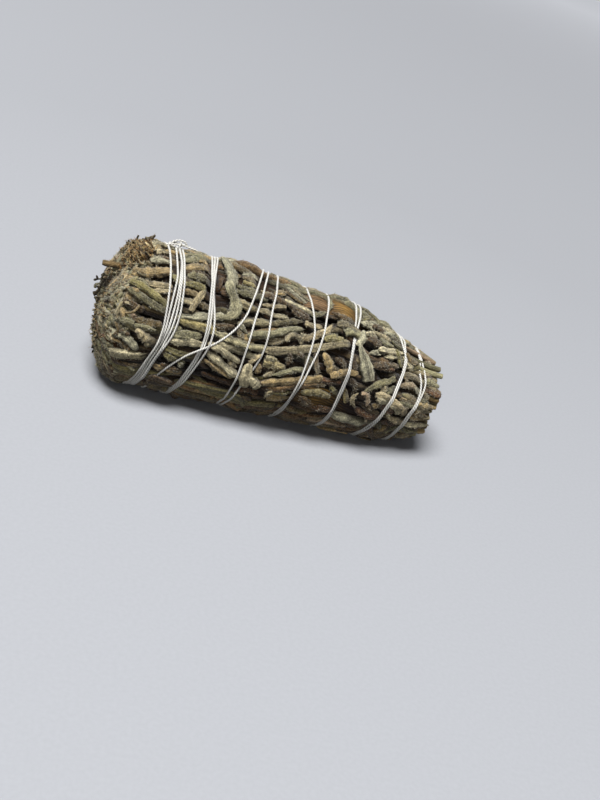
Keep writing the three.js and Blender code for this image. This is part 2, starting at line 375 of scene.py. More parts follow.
# What grows where: the length, width and slant of the leaves along the stick.
def habitAt(x):
    stems = np.clip((x - 80) / 14, 0, 1)
    head = np.clip((9 - x) / 7, 0, 1)
    length = (23 * (1 - stems) + 11.5 * stems) * (1 - 0.6 * head)
    return length, 2.75 - 0.35 * stems - 0.9 * head, 0.16 + 0.4 * stems + 0.4 * head


# How the fill's leaves vary: mostly spreads about the usual, and shares of them turned or kinked.
filling = {"tries": 8, "longest": 38, "shortest": 6, "lengthSpread": 0.32, "widthSpread": 0.2,
           "turned": 0.15, "turnedBy": 2.8, "bend": 0.32, "sway": 0.15, "kinked": 0.22, "kink": 0.8,
           "headBare": 2.5, "tipBare": 4, "tooDeep": -1.2, "worthLaying": 0.3, "gap": 3}


# Fills the bed: again and again finds one of its lowest places, tries several leaves there and
# keeps the one that sinks in best.
def fillBed(count, enough):
    for _ in range(count):
        room = ceiling - hollow - height
        room[bedX < filling["headBare"]] = -3
        room[bedX > stick["length"] - filling["tipBare"]] = -3
        ix, ia = np.unravel_index(np.argmax(room * (0.5 + 0.5 * chance.random(room.shape))), room.shape)
        if room[ix, ia] < enough:
            continue
        k = filling["tries"]
        length, width, slant = habitAt(bedX[ix])
        lengths = length * np.exp(chance.normal(0, filling["lengthSpread"], k))
        lengths = np.clip(lengths, filling["shortest"], filling["longest"])
        headings = chance.normal(0, slant, k)
        headings = headings * np.where(chance.random(k) < filling["turned"], filling["turnedBy"], 1)
        x = bedX[ix] + chance.uniform(-0.3, 0.3, k) * lengths
        x = np.clip(x, lengths * 0.42 + 1.5, stick["length"] - 2 - lengths * 0.4)
        bends = chance.normal(0, filling["bend"], k) * (1 + 2 * slant)
        sways = chance.normal(0, filling["sway"], k) * (1 + 3 * slant)
        kinks = np.where(chance.random(k) < filling["kinked"], chance.normal(0, filling["kink"], k), 0)
        xs, angles = walks(x, bedAngle[ia] + chance.normal(0, 2, k), headings, lengths, bends, sways,
                           kinks, chance.uniform(-0.3, 0.3, k), leafPoints)
        score = room[cell(xs, angles)].mean(1) + 0.02 * lengths
        score[(xs.min(1) < 1) | (xs.max(1) > stick["length"] - 1)] -= 2
        score -= 4 * (room[cell(xs, angles)] < filling["tooDeep"]).mean(1)
        best = int(np.argmax(score))
        if score[best] < filling["worthLaying"]:
            hollow[ix, ia] += filling["gap"]  # nothing fits, so it stays a gap
            continue
        wide = width * np.clip(chance.normal(1, filling["widthSpread"]), 0.6, 1.5)
        lay(xs[best], angles[best], wide, wide * chance.uniform(0.6, 1.0),
            colourAt(bedX[ix], bedAngle[ia]), proud=chance.uniform(-0.9, 0.5), spare=0.8)


# Dark hollows that leaves stay out of: x, angle, half their length in mm and half their height in
# degrees.
hollows = [
    (12.5, 114, 5.5, 3.5), (13.5, 145.5, 4, 1.8), (7, 99, 1.3, 2.5), (6.5, 79, 1.3, 2), (15, 86, 1.6, 3),
    (17.5, 148, 1.5, 2), (23, 157, 1.6, 2), (26, 110, 4, 2), (26, 94, 4, 2.5), (22, 131, 0.8, 2),
    (24.5, 137.5, 1.6, 2), (29.5, 139, 1.2, 2.5), (28.5, 129, 1.5, 2), (33.4, 140, 1.5, 7),
    (39.3, 165, 1.3, 5), (36.5, 117, 2.5, 3), (42.4, 121, 1.8, 5), (48, 127, 2, 2), (47.5, 136, 2.5, 2),
    (52.5, 144, 3, 2), (58.5, 139, 4, 3), (69.3, 147.5, 3, 4.5), (64, 149, 2, 2.5), (61, 141, 2, 2),
    (57.5, 107, 2, 3.5), (61.5, 107, 1.5, 4), (64, 113, 1.2, 3), (70, 107, 1.5, 4), (75, 113, 1.5, 2.5),
    (66.3, 129, 1.2, 3), (74.5, 121, 3, 2.5), (83, 141, 1.8, 5), (81, 157, 1, 3), (85.7, 88, 1.4, 5),
    (83.5, 76, 2, 4), (90, 118, 3, 4), (88, 111, 2, 3), (95, 87, 3, 2), (99.5, 83, 2, 3.5),
    (102.5, 129, 1.2, 2), (111.5, 118, 2, 4), (107.5, 91, 2, 3), (97, 134, 0.8, 3), (93.6, 105, 1.3, 3),
    (97.5, 92, 1.5, 2), (29, 76, 2.5, 5), (24, 77, 3, 2), (45, 75, 2, 3), (52.5, 70, 2, 3),
    (72.5, 73.5, 2.5, 3.5), (65, 74, 1.5, 5), (80, 76, 1.3, 6), (41, 66, 4, 4), (98, 119, 1, 3),
    (52, 89, 1.5, 3), (30, 215, 5, 4), (62, 236, 6, 4), (88, 222, 3, 5), (18, 252, 5, 4), (47, 262, 5, 5),
    (75, 280, 5, 4), (97, 258, 3, 5), (34, 292, 5, 4), (60, 306, 6, 4), (12, 300, 4, 4), (40, 48, 5, 4),
    (20, 205, 3, 4), (26, 236, 4, 4), (52, 222, 5, 3), (70, 254, 4, 4), (84, 300, 4, 4), (44, 320, 5, 4),
    (104, 284, 3, 5),
]
hollowDepth = 5.5
frontSpare = 1.9  # how far below the ceiling the fill stays where the front's own leaves lie
hollow += frontSpare * np.clip((bedX[:, None] - 4) / 3, 0, 1) * np.clip((114 - bedX[:, None]) / 4, 0, 1) \
    * np.clip((bedAngle[None, :] - 60) / 5, 0, 1) * np.clip((184 - bedAngle[None, :]) / 6, 0, 1)


# The part of the bed inside an ellipse: x, angle, half its length and half its height.
def insideOf(x, angle, long, high):
    return ((bedX[:, None] - x) / long) ** 2 + ((bedAngle[None, :] - angle) / high) ** 2 < 1


for place in hollows:
    hollow[insideOf(*place)] = hollowDepth

fillBed(330, 2.6)
print("first leaves:", len(leaves))

# Citronella blades: flat ribbed strips, rolled in among the leaves just under the surface, and
# bare in a few places. The darker tint of blades 1 and 4, low on the underside, is partly painted
# shade; blade 2 has a band of painted light, lighter and more orange, where it lies bare on top.
blades = {
    "citronella_blade_1": {
        "path": [(14, 48), (40, 54), (60, 72), (71, 77), (82, 66), (106, 46)], "width": 8, "tint": "#6a5126"},
    "citronella_blade_2": {
        "path": [(12, 172), (40, 172), (62, 172), (75, 171.5), (90, 171), (108, 172)], "width": 9.4,
        "tint": "#7d6346", "paintedLight": "#8f6f3b"},
    "citronella_blade_3": {
        "path": [(12, 268), (38, 276), (64, 264), (90, 274), (108, 268)], "width": 8, "tint": "#7d6346"},
    "citronella_blade_4": {
        "path": [(14, 330), (44, 324), (70, 334), (106, 328)], "width": 7, "tint": "#6a5126"},
}
# The last two say where along the blade, and over how many mm, the band of painted light lies.
bladeForm = {"thickness": 0.5, "ribHeight": 0.26, "ribSpacing": 0.95, "bentDown": 0.9, "deep": 2.9,
             "bareRise": 2.3, "bareGap": 3, "paintedLightAt": 74.8, "paintedLightWidth": 4.6}
bareBlade = [  # where a blade shows: x, angle, half its length in mm and half its height in degrees
    (74.8, 171.5, 4.1, 13), (64.6, 171, 3.2, 9), (70.5, 76.5, 6, 10), (40, 272, 5, 9), (92, 272, 4, 8),
    (58, 328, 6, 10),
]
for place in bareBlade:
    hollow[insideOf(*place)] = bladeForm["bareGap"]
for blade in blades.values():
    x, angle = throughPoints(blade["path"], 90).T
    bare = sum(np.exp(-((x - bx) / long) ** 2) for bx, ba, long, high in bareBlade
               if abs(np.interp(bx, x, angle) - ba) < 20)
    rise = bladeForm["bareRise"] * np.clip(bare, 0, 1)
    rho = smoothed(surfaceRadius(x, angle) - bladeForm["deep"] + rise, 3)
    addToBed(x, angle, rho, blade["width"], bladeForm["thickness"])
    blade.update(x=x, angle=angle, rho=rho)

fillBed(260, 1.5)
print("with the second layer:", len(leaves))

# Stems that lie at the surface towards the narrow end, and stick out of it: angle and x where each
# starts, angle and x where it ends, mm below the surface at its start and its end, and width.
surfaceStems = [
    (149, 97, 164, 114.8, 1.3, -0.5, 1.9), (157.5, 97, 177, 114.2, 1.3, -0.8, 1.9),
    (166, 95, 190, 112.8, 1.5, -0.4, 1.7), (143, 98, 153.5, 109.0, 1.6, 0.2, 1.8),
    (190, 90, 196, 113.6, 1.5, -0.3, 1.8), (141, 100, 139, 110.5, 2.2, 1.2, 1.7),
    (122, 94, 122, 109.0, 2.4, 1.9, 1.7), (108, 96, 108, 109.5, 2.4, 1.8, 1.7),
    (92, 94, 92, 108.5, 2.4, 1.9, 1.7), (74, 92, 74, 110.0, 2.0, 1.2, 1.7),
    (52, 94, 52, 112.5, 1.8, 0.4, 1.7), (28, 96, 28, 113.5, 1.6, 0.5, 1.8), (4, 94, 4, 111.5, 1.4, 0.5, 1.7),
    (336, 94, 336, 113.5, 1.6, 0.4, 1.8), (312, 92, 310, 114.5, 1.5, 0.0, 1.8),
    (298, 92, 296, 112.0, 1.4, 0.3, 1.7), (280, 90, 283, 113.8, 1.5, -0.2, 1.8),
    (262, 92, 262, 110.5, 1.6, 0.3, 1.7), (246, 90, 243, 114.2, 1.4, -0.3, 1.8),
    (228, 88, 230, 112.5, 1.5, -0.3, 1.7), (213, 90, 211, 114.0, 1.3, -0.5, 1.8),
    (203, 88, 202, 112.0, 1.5, -0.2, 1.7),
]
for startAngle, start, endAngle, end, sunkStart, sunkEnd, width in surfaceStems:
    x, angle = np.linspace(start, end, 40), np.linspace(startAngle, endAngle, 40)
    rho = surfaceRadius(x, angle) - np.linspace(sunkStart, sunkEnd, 40) - width / 2
    addToBed(x, angle, rho, width, width)
    away = np.abs((bedAngle[None, :] - np.interp(bedX, x, angle)[:, None] + 180) % 360 - 180)
    if sunkEnd < 1:
        hollow[(bedX[:, None] > max(start + 5, 102)) & (away < 5)] = 3

# The leaves that show on the front, each laid over those before it: colour, width in mm, how far it
# may stand proud of the rest, and its path as x, angle, x, angle and so on. The umber, drab and rust
# ones that lie low in gaps and towards the underside are partly painted shade.
frontLeaves = {
    "head": [
        ("umber", 2.0, -0.6, 5, 121, 8, 118.5, 12, 116), ("umber", 2.2, -0.2, 5, 66, 8, 63, 12, 65, 16, 67),
        ("cream", 2.2, 0.1, 6, 67, 9, 71.5, 13, 74.5, 16.5, 76),
        ("cream", 2.5, 0.4, 5.6, 71, 7.5, 75.5, 11, 78, 16.5, 80.5),
        ("drab", 2.0, 0.0, 6, 85.5, 8.5, 84, 11, 82), ("paleTan", 1.8, 0.2, 4.4, 89, 5, 85.5, 6.2, 82),
        ("silver", 2.4, 0.6, 4.6, 90.5, 7, 92, 9, 90.5, 11, 87, 13, 83.5),
        ("umber", 1.7, 0.2, 6, 94.5, 7.8, 95.5, 9.6, 94), ("drab", 2.3, 0.2, 10, 108, 14, 107.5, 18, 108.5),
        ("sage", 1.6, 0.2, 10, 103, 13, 104, 16.5, 103),
        ("paleTan", 3.0, 0.5, 11, 101, 13, 97.5, 15, 95, 18, 92),
        ("greyTan", 1.8, 0.5, 14.4, 91, 16, 90, 18, 89.5),
        ("sage", 2.0, 0.6, 10, 105, 7.2, 105.3, 5.4, 103.5, 5, 100, 5.8, 97),
        ("paleTan", 1.8, 0.0, 13, 131.5, 16, 134.5, 19, 137),
        ("paleTan", 2.4, 0.4, 6, 140.5, 10, 138.5, 14, 139, 18.5, 140.5),
        ("olive", 2.3, 0.5, 6.3, 138.5, 9, 135.5, 12, 132.2, 15, 128.6, 18.5, 125.5),
        ("moss", 2.2, 0.6, 6.5, 131.5, 9, 128, 12, 124.6, 15, 122, 19, 119.5),
        ("moss", 1.9, 0.1, 7, 158.5, 9, 157.5, 11.4, 157),
        ("tan", 3.6, 0.7, 6.3, 149, 9, 148.5, 12, 149.5, 15, 152.5, 18, 155.5),
        ("rust", 1.5, 0.1, 13, 168.5, 16.5, 169), ("silver", 2.6, 0.4, 11, 161, 13, 163, 17, 165),
        ("cream", 3.0, 0.5, 12, 171, 14, 175, 17, 178), ("cream", 2.2, 0.2, 10, 183, 13, 187, 17, 189),
    ],
    "behindTheBinding": [
        ("olive", 2.0, -0.4, 20, 90, 25, 88, 30, 88), ("umber", 2.0, -0.5, 21, 147, 22.5, 149, 24, 147),
        ("tan", 2.0, -0.3, 19, 70, 23, 71, 28, 69), ("umber", 1.8, -0.3, 21, 75, 25, 73, 28, 73),
        ("olive", 2.2, 0.0, 21, 85, 24, 83, 28, 81), ("moss", 1.7, 0.1, 26, 80, 28, 78.5),
        ("sage", 2.2, 0.0, 19, 105, 22, 108, 24.4, 108.5), ("sage", 2.5, 0.3, 22, 102.5, 26, 105, 30.5, 107),
        ("cream", 2.1, 0.3, 21.5, 97.5, 25, 98.5, 28, 100.5, 31.5, 100.5),
        ("tan", 1.8, 0.0, 21.5, 139.5, 24, 140.5, 27, 139),
        ("cream", 2.1, 0.3, 21, 132, 23.5, 132.5, 26, 132), ("drab", 2.2, 0.2, 27.6, 133, 31, 132.5),
        ("olive", 2.2, 0.1, 18, 151, 20, 148, 22, 146),
        ("straw", 2.3, 0.3, 22.5, 116.5, 26, 115, 31.5, 114.5, 34, 113),
        ("silver", 2.4, 0.6, 36.5, 127.4, 34, 126, 30.5, 123.5, 26.5, 120.5, 22, 118.5),
        ("tan", 2.1, 0.5, 28.4, 144.5, 27.4, 138, 26.3, 132, 25.3, 124.5),
        ("olive", 2.3, 0.7, 21.5, 144.5, 25, 145.8, 28.8, 145.5),
        ("moss", 2.6, 0.4, 22.6, 152.5, 26, 154.5, 31, 153.5),
        ("umber", 1.8, -0.2, 22, 158, 25, 159.5, 29.5, 160),
        ("tan", 3.3, 0.4, 20.5, 161.5, 24, 164.5, 27, 167, 29, 167.5),
        ("tan", 1.3, 0.7, 25.5, 172.5, 27.5, 174.5, 29, 171.5, 29.6, 167, 29.2, 163),
        ("sage", 2.5, 0.1, 20, 176, 24, 180, 29, 182), ("sage", 2.4, 0.1, 21, 170, 24, 172.5, 26, 176),
        ("brown", 2.0, -0.2, 32.6, 166, 33, 158, 33, 151),
    ],
    "middle": [
        ("umber", 2.0, -0.5, 33, 118, 36, 119, 39.5, 122), ("tan", 1.8, -0.4, 37, 164, 37.8, 169, 39.5, 171),
        ("moss", 1.8, 0.0, 37.6, 158, 41, 158.8, 45.5, 159.5), ("straw", 1.7, 0.1, 40, 164.3, 44.5, 163),
        ("umber", 1.8, 0.3, 39.8, 167.3, 42, 168, 44.6, 166),
        ("silver", 1.9, 0.5, 39.6, 170.5, 42, 173.5, 45, 172),
        ("paleTan", 1.7, 0.0, 46, 160.5, 48, 160, 51, 160), ("tan", 2.2, 0.3, 50.5, 161, 53, 164.5, 54, 169),
        ("moss", 2.8, 0.2, 37.3, 152.3, 41, 152.5, 44.5, 153.5, 48.5, 153.2),
        ("paleTan", 2.3, 0.1, 46.5, 147, 50, 148.5, 54.5, 151.5),
        ("umber", 2.0, 0.1, 47, 155.5, 51, 156, 55, 155),
        ("paleTan", 3.1, 0.3, 39.3, 144, 42, 144.2, 46, 142),
        ("umber", 2.1, 0.1, 49.5, 131.5, 53, 135, 57, 139.5, 61, 143.5),
        ("greyTan", 1.8, 0.4, 45.5, 141, 49, 141, 52, 139.6, 55.5, 140.5),
        ("cream", 2.8, 0.4, 41.3, 127.5, 44, 129.5, 47, 131.5, 49.6, 132.6),
        ("silver", 1.4, 0.1, 40.4, 127, 42, 123, 44, 119),
        ("drab", 1.4, 0.1, 40.4, 121.5, 42, 116.5, 43.2, 113),
        ("greyTan", 2.3, 0.2, 50.3, 117, 53.5, 119.6, 56.8, 122.8),
        ("greyTan", 1.9, 0.5, 56.2, 120.5, 56.6, 125, 58.5, 127.8, 60.7, 126.2, 61.1, 122),
        ("sage", 2.5, 0.4, 44, 117.5, 48, 120.8, 51, 123, 54, 127, 57, 131.5, 61, 135.5),
        ("cream", 2.3, 0.1, 35.5, 105.3, 40, 104.5, 44.5, 102.3, 48.5, 100.3),
        ("cream", 2.4, 0.4, 33, 103.5, 37, 100.7, 40, 97, 44, 93),
        ("tan", 2.1, 0.1, 33, 89, 36, 86, 39, 82.5, 43, 79), ("paleTan", 1.8, 0.0, 40.5, 91.5, 43.5, 88),
        ("cream", 2.5, 0.6, 33, 95.5, 36, 92.7, 39, 88.3, 42, 84.2, 45, 80),
        ("tan", 2.2, 0.0, 49.9, 96, 50.3, 91, 50.4, 86.5), ("cream", 1.4, 0.2, 52.5, 86, 54, 90, 55.2, 93.5),
        ("straw", 3.0, 0.1, 51, 98.5, 54, 98.8, 58, 98.5),
        ("cream", 1.8, 0.5, 51.2, 103.2, 53, 104, 54.8, 103.6),
        ("sage", 1.9, 0.4, 54.5, 89.5, 57, 93.5, 59.5, 97.3, 61.5, 100, 64, 100.8),
        ("olive", 2.4, 0.0, 56.5, 74.5, 60, 77, 63, 78.5), ("tan", 3.2, -0.2, 56, 65, 60, 68.5, 63, 70.5),
        ("brown", 1.8, 0.2, 54.5, 77, 58, 80, 61, 83, 65, 86.8, 69, 90.8, 72, 92.5),
        ("tan", 2.7, 0.6, 52.3, 81, 56, 84.8, 60, 88.5, 64, 91.5, 68, 95.5, 70.6, 98.5),
        ("paleTan", 2.0, 0.5, 56.6, 77, 55.6, 72.5, 55.2, 66), ("rust", 2.0, -0.4, 34, 73, 38, 71, 44, 70),
        ("rust", 2.0, -0.4, 46, 66, 50, 67.5, 53, 66),
        ("silver", 2.4, 0.7, 33, 113.7, 37, 111.6, 41, 110, 46, 109.2, 51.6, 110.6),
        ("greyTan", 2.5, 0.9, 50.4, 109.8, 55, 112, 60, 116, 64, 119.5, 69, 124.8, 73, 129.7, 77, 133.5),
    ],
    "shoulder": [
        ("silver", 1.2, 0.2, 55.5, 180, 58, 172.5, 61.5, 164),
        ("umber", 1.2, 0.3, 54.2, 174, 57, 167, 60.5, 161.5),
        ("greyTan", 1.2, 0.3, 57.5, 181, 60, 174, 63, 167.5),
        ("umber", 1.5, 0.0, 66, 155, 70, 157.5, 76, 156.5),
        ("sage", 1.8, 0.5, 69.4, 182, 69.9, 172, 69.3, 163),
        ("moss", 1.8, 0.4, 79.6, 179, 80.3, 171, 79.6, 164),
        ("umber", 1.8, 0.3, 70, 160, 74, 157, 78.6, 159.5),
        ("cream", 1.9, 0.2, 54, 158, 59, 156.8, 64, 154.8),
        ("umber", 2.1, 0.2, 55, 154, 58.5, 151.7, 62.5, 149.5),
        ("umber", 1.7, 0.2, 56.5, 149.3, 60, 147, 63.5, 148.5),
        ("moss", 1.8, 0.5, 63.2, 152.5, 66, 155, 68.5, 160.5),
        ("paleTan", 1.9, 0.1, 61.3, 142.5, 64, 142.5, 67.5, 144),
        ("cream", 1.5, 0.4, 60.3, 131.4, 62.2, 129.2),
        ("paleTan", 1.9, 0.4, 64.6, 132.5, 66.7, 136.5, 69, 141, 70.4, 147.5),
        ("greyTan", 2.1, 0.5, 61, 125.5, 63, 129, 66, 134, 68, 138.5),
        ("olive", 2.8, 0.3, 68.3, 132.3, 71, 133.8, 74.3, 133.8),
        ("umber", 1.8, 0.0, 60.3, 113.3, 62.8, 112), ("umber", 1.7, 0.0, 58, 112.5, 58.6, 107, 58.3, 101.5),
        ("drab", 1.6, 0.1, 64, 111, 64.8, 105, 65.4, 101),
        ("umber", 1.4, 0.4, 66.2, 118.5, 67, 112, 67.6, 106, 68.6, 101),
        ("rust", 2.2, 0.0, 70.5, 96.8, 73.5, 96, 77, 98),
        ("umber", 1.3, 0.6, 72.7, 115.8, 74.4, 117.2, 76, 114.6, 76.4, 110.5),
        ("tan", 2.5, 0.5, 69, 119.5, 70.5, 115, 72, 109.3, 72.5, 103),
        ("tan", 2.4, 0.5, 72.6, 101.3, 75, 105, 77.5, 108.2, 81.5, 110.5),
        ("olive", 1.7, 0.4, 73.9, 92, 75.5, 88.5, 77.2, 85.3),
        ("straw", 2.8, 0.1, 65.6, 81, 70, 84.8, 75, 82.5), ("rust", 2.6, 0.0, 66.3, 78, 68, 72.5, 70.5, 69),
        ("rust", 2.3, 0.0, 70.5, 68, 74, 68, 78, 66), ("straw", 1.8, 0.0, 78.6, 93, 79.9, 87, 81, 80.5),
        ("umber", 2.0, 0.2, 79.8, 104.5, 81.2, 101, 82, 96, 81.6, 90),
        ("paleTan", 1.9, 0.4, 83.6, 94, 82.5, 89, 82.8, 83.5, 84.6, 79.5),
        ("umber", 2.0, -0.3, 79.5, 125.5, 79.5, 119, 80.5, 113),
        ("brown", 1.5, 0.2, 82.5, 175, 84.5, 180.5, 87, 187.5),
        ("olive", 1.4, 0.3, 81.8, 171, 83.3, 176, 85.4, 182),
        ("silver", 2.6, 0.3, 80.8, 162, 83, 166, 86, 166.5),
        ("silver", 2.4, 0.4, 84, 170.5, 86.5, 173, 88, 178),
        ("cream", 2.3, 0.3, 81.8, 151.5, 84.5, 156.7, 87.5, 161.5),
        ("umber", 3.0, 0.4, 83.3, 145.6, 86, 147.3, 88.5, 150),
        ("silver", 2.6, 0.4, 84, 132.5, 86, 136.3, 89, 141.2),
    ],
    "narrowEnd": [
        ("umber", 2.4, -0.2, 85.5, 84, 89, 82, 93.5, 79), ("rust", 2.8, -0.2, 85, 76, 90, 73.5, 95, 73),
        ("rust", 2.6, -0.3, 96.5, 69, 99, 66, 102, 63), ("paleTan", 2.6, 0.0, 98, 77, 101, 75, 104, 72),
        ("paleTan", 0.6, 0.8, 90, 70.5, 90.8, 65, 92, 60),
        ("rust", 2.3, 0.2, 92.3, 89, 95.5, 87.5, 98.5, 86), ("straw", 2.0, 0.2, 95.6, 81.5, 98.2, 80),
        ("drab", 2.6, 0.2, 90.3, 97, 92, 91.5, 90, 85.5),
        ("brown", 2.5, 0.0, 106, 132.5, 110, 134, 115, 132),
        ("rust", 2.4, -0.2, 107.5, 128, 111, 127.5, 114.5, 126),
        ("umber", 2.4, 0.2, 106.3, 146.5, 109, 149, 112.3, 151),
        ("sage", 2.3, 0.3, 107.3, 139, 110, 141, 113.6, 141.5),
        ("rust", 1.9, 0.1, 86.8, 123, 91, 127, 94.5, 131.8),
        ("umber", 2.2, 0.3, 85.2, 121.5, 88.5, 126.5, 92, 131.5, 96, 138.5),
        ("cream", 2.2, 0.3, 85.6, 160, 89, 160, 92.4, 162),
        ("sage", 2.2, 0.3, 88, 152, 90, 154.5, 93.4, 156),
        ("moss", 2.0, 0.3, 92.5, 160.3, 95, 161, 98, 163.5),
        ("umber", 2.3, 0.3, 85, 165, 87, 169, 90, 168.5),
        ("silver", 2.1, 0.3, 89.6, 165.5, 92, 170, 94.5, 175),
        ("umber", 1.6, 0.3, 92, 163, 94.5, 168, 97.6, 174), ("cream", 2.2, 0.2, 90, 178, 94, 181, 98, 184),
        ("sage", 2.0, 0.2, 95, 172, 98, 176, 101, 181),
        ("cream", 2.0, 0.4, 89.8, 138, 92.5, 141.7, 95.4, 146.4),
        ("cream", 2.3, 0.5, 87.3, 140, 90.5, 144.7, 94, 150.2, 98, 157.5),
        ("olive", 1.8, 0.4, 94.3, 153, 96, 146.5, 97.2, 139),
        ("cream", 1.8, 0.4, 97.3, 152, 100.3, 147, 101, 141),
        ("greyTan", 2.2, 0.2, 98.2, 132.5, 101, 135.8, 104, 137.5, 107, 137),
        ("tan", 1.5, 0.3, 98.6, 131.5, 99.8, 127.5, 99.5, 123),
        ("greyTan", 2.0, 0.5, 98.2, 117.5, 100, 122, 102.2, 124.7, 104.4, 124),
        ("silver", 2.0, 0.5, 103.4, 124.6, 105.2, 121.5, 106.8, 118.5),
        ("tan", 2.2, 0.4, 106.6, 124.5, 108.4, 121, 109.6, 116.5),
        ("moss", 2.0, 0.3, 106, 112.4, 108, 112.2, 110.6, 110.5),
        ("moss", 2.4, 0.5, 99.3, 110.7, 102, 110.7, 105, 110.6),
        ("umber", 1.6, 0.3, 99, 106, 102, 106.5, 105.4, 107),
        ("umber", 1.8, 0.3, 96.8, 103, 98, 107, 99.2, 110.3),
        ("sage", 2.3, 0.4, 99.3, 101.7, 102, 102, 105.3, 101.5),
        ("tan", 2.3, 0.4, 105.6, 107, 109, 106.2, 113, 104.6),
        ("greyTan", 2.3, 0.3, 105.3, 101, 108.5, 100.2, 112.5, 97),
        ("drab", 2.2, 0.2, 105, 94.5, 108, 93, 112, 90),
        ("tan", 2.3, 0.3, 104.6, 87, 107.5, 85.2, 111.6, 83),
        ("umber", 2.0, 0.2, 104.6, 80, 107, 79, 110.5, 76.5),
        ("cream", 2.8, 0.3, 104.5, 72, 109, 71.5, 114.5, 68.5), ("umber", 2.2, 0.2, 100, 95.6, 103.5, 97),
        ("moss", 1.9, 0.4, 93.2, 103.8, 95, 109, 96.3, 115),
        ("greyTan", 1.9, 0.4, 92, 112.8, 92.2, 107.5, 92.4, 102),
        ("sage", 2.1, 0.5, 85.3, 97.5, 87.5, 103, 90, 110, 93, 116, 95.6, 122.3),
        ("cream", 1.9, 0.5, 90.3, 96, 93, 95.5, 96.5, 95, 99, 92.5, 100.7, 87.5),
        ("paleTan", 2.1, 0.7, 89.4, 98.6, 92.5, 101, 96, 100, 99, 98, 101.2, 95.6, 102.4, 91.5, 102.7, 87),
        ("rose", 1.7, 0.7, 84.4, 94.8, 86, 96, 87.1, 94, 87.5, 90, 87.7, 85.5),
    ],
}
for group in frontLeaves.values():
    for colour, width, proud, *path in group:
        x, angle = throughPoints(np.reshape(path, (-1, 2)), leafPoints).T
        lay(x, angle, width, min(0.8 * width, 2.3), colour, proud, deepest=1.0, telling=True)
        around = cell(*across(x, angle, np.linspace(-0.45, 0.45, 9) * width))
        hollow[around] = np.maximum(hollow[around], 4.0)  # nothing more goes over them

fillBed(560, 0.95)
print("with the top layer:", len(leaves))


# The thread is pulled taut: over the leaves that it crosses, pressed a little into them, and
# straight between one high place and the next. Later turns pass over earlier ones.
def tautThread():
    degrees = (np.arange(360) + thread["beneathAt"]) % 360
    wound = woundX.ravel()
    around = np.tile(degrees, len(woundX))
    last = len(wound) - (360 + thread["beneathAt"] - thread["knotAngle"]) % 360
    wound, around = wound[:last], around[:last]
    beneath = height[cell(wound, around)] - thread["press"]
    beneath = smoothed(beneath, 1.2)
    taut = beneath.copy()
    for _ in range(thread["tightened"]):
        chord = 2 * taut[:-2] * taut[2:] * math.cos(math.radians(1)) / (taut[:-2] + taut[2:])
        taut[1:-1] = np.maximum(beneath[1:-1], chord)
    taut = taut + thread["radius"] * 0.8
    taut = np.minimum(taut, toFloor(wound, around, thread["radius"]))
    # strands that meet are lifted over each other
    turnOf = np.arange(len(wound)) // 360
    for degree in range(360):
        here = np.flatnonzero(around == degree)
        for k in range(1, len(here)):
            gap = np.abs(wound[here[:k]] - wound[here[k]])
            over = taut[here[:k]] + np.sqrt(np.maximum((2 * thread["radius"]) ** 2 - gap ** 2, 0)) * 0.95
            near = gap < 2 * thread["radius"]
            if near.any():
                taut[here[k]] = max(taut[here[k]], over[near].max())
    taut = smoothed(taut, 2.5)
    return wound, around, taut, turnOf


threadX, threadAngle, threadRho, threadTurn = tautThread()
strandX = np.full((len(woundX), 360), np.nan)
strandRho = np.full((len(woundX), 360), np.nan)
strandX[threadTurn, threadAngle] = threadX
strandRho[threadTurn, threadAngle] = threadRho
np.maximum.at(height, cell(threadX, threadAngle), threadRho + thread["radius"])
print("thread wound: %.1f turns" % (len(threadX) / 360))

# Leaves lying loose over the thread, laid last, in the same way.
looseLeaves = [
    ("silver", 3.5, 1.3, 33.6, 188, 34.7, 177, 36.0, 167, 36.4, 160, 35.7, 154),
    ("silver", 3.4, 1.6, 35.3, 156.5, 36.2, 150.5, 37.9, 144.5, 38.8, 138, 38.5, 132, 36.6, 127.6,
     33.6, 125.4),
    ("greyTan", 2.4, 0.9, 72, 149, 74, 151.3, 77, 151.6, 80.4, 150),
    ("sage", 2.6, 1.0, 74.2, 141.5, 76.4, 144.7, 79, 145.5, 81, 143),
    ("silver", 2.4, 1.3, 81, 150.5, 80.6, 143.5, 79.9, 137.5, 79.4, 133.5),
    ("silver", 3.9, 1.5, 79.6, 135.5, 81.5, 128, 83.3, 121, 85.2, 112.5, 86, 108),
    ("olive", 2.0, 1.2, 101.8, 147, 103.2, 151, 104.2, 157),
    ("drab", 1.8, 1.3, 98.6, 157.5, 101, 151, 103.4, 154),
    ("paleTan", 1.8, 1.0, 49.7, 104.5, 48.2, 99.5, 47.1, 94),
    ("cream", 3.4, 1.3, 46.9, 94, 47.1, 86, 47.4, 78, 47.7, 71.5),
    ("cream", 2.9, 1.4, 48.2, 83, 50, 79.6, 51.8, 76), ("umber", 2.6, 0.7, 19, 60, 22, 60.5, 26, 58),
    ("umber", 2.4, 0.7, 18.8, 53, 22, 53.5, 27, 50), ("umber", 2.4, 0.7, 18.4, 46, 21.5, 46, 26, 43),
    ("rust", 2.6, 1.2, 52, 232, 48, 238, 50, 247), ("silver", 2.8, 1.2, 78, 262, 80, 272, 77, 281),
    ("sage", 2.4, 1.1, 26, 218, 29, 226, 26, 235),
]
pressedCount = len(leaves)
for colour, width, proud, *path in looseLeaves:
    x, angle = throughPoints(np.reshape(path, (-1, 2)), leafPoints).T
    lay(x, angle, width, min(0.7 * width, 2.3), colour, proud, telling=True, loose=True)


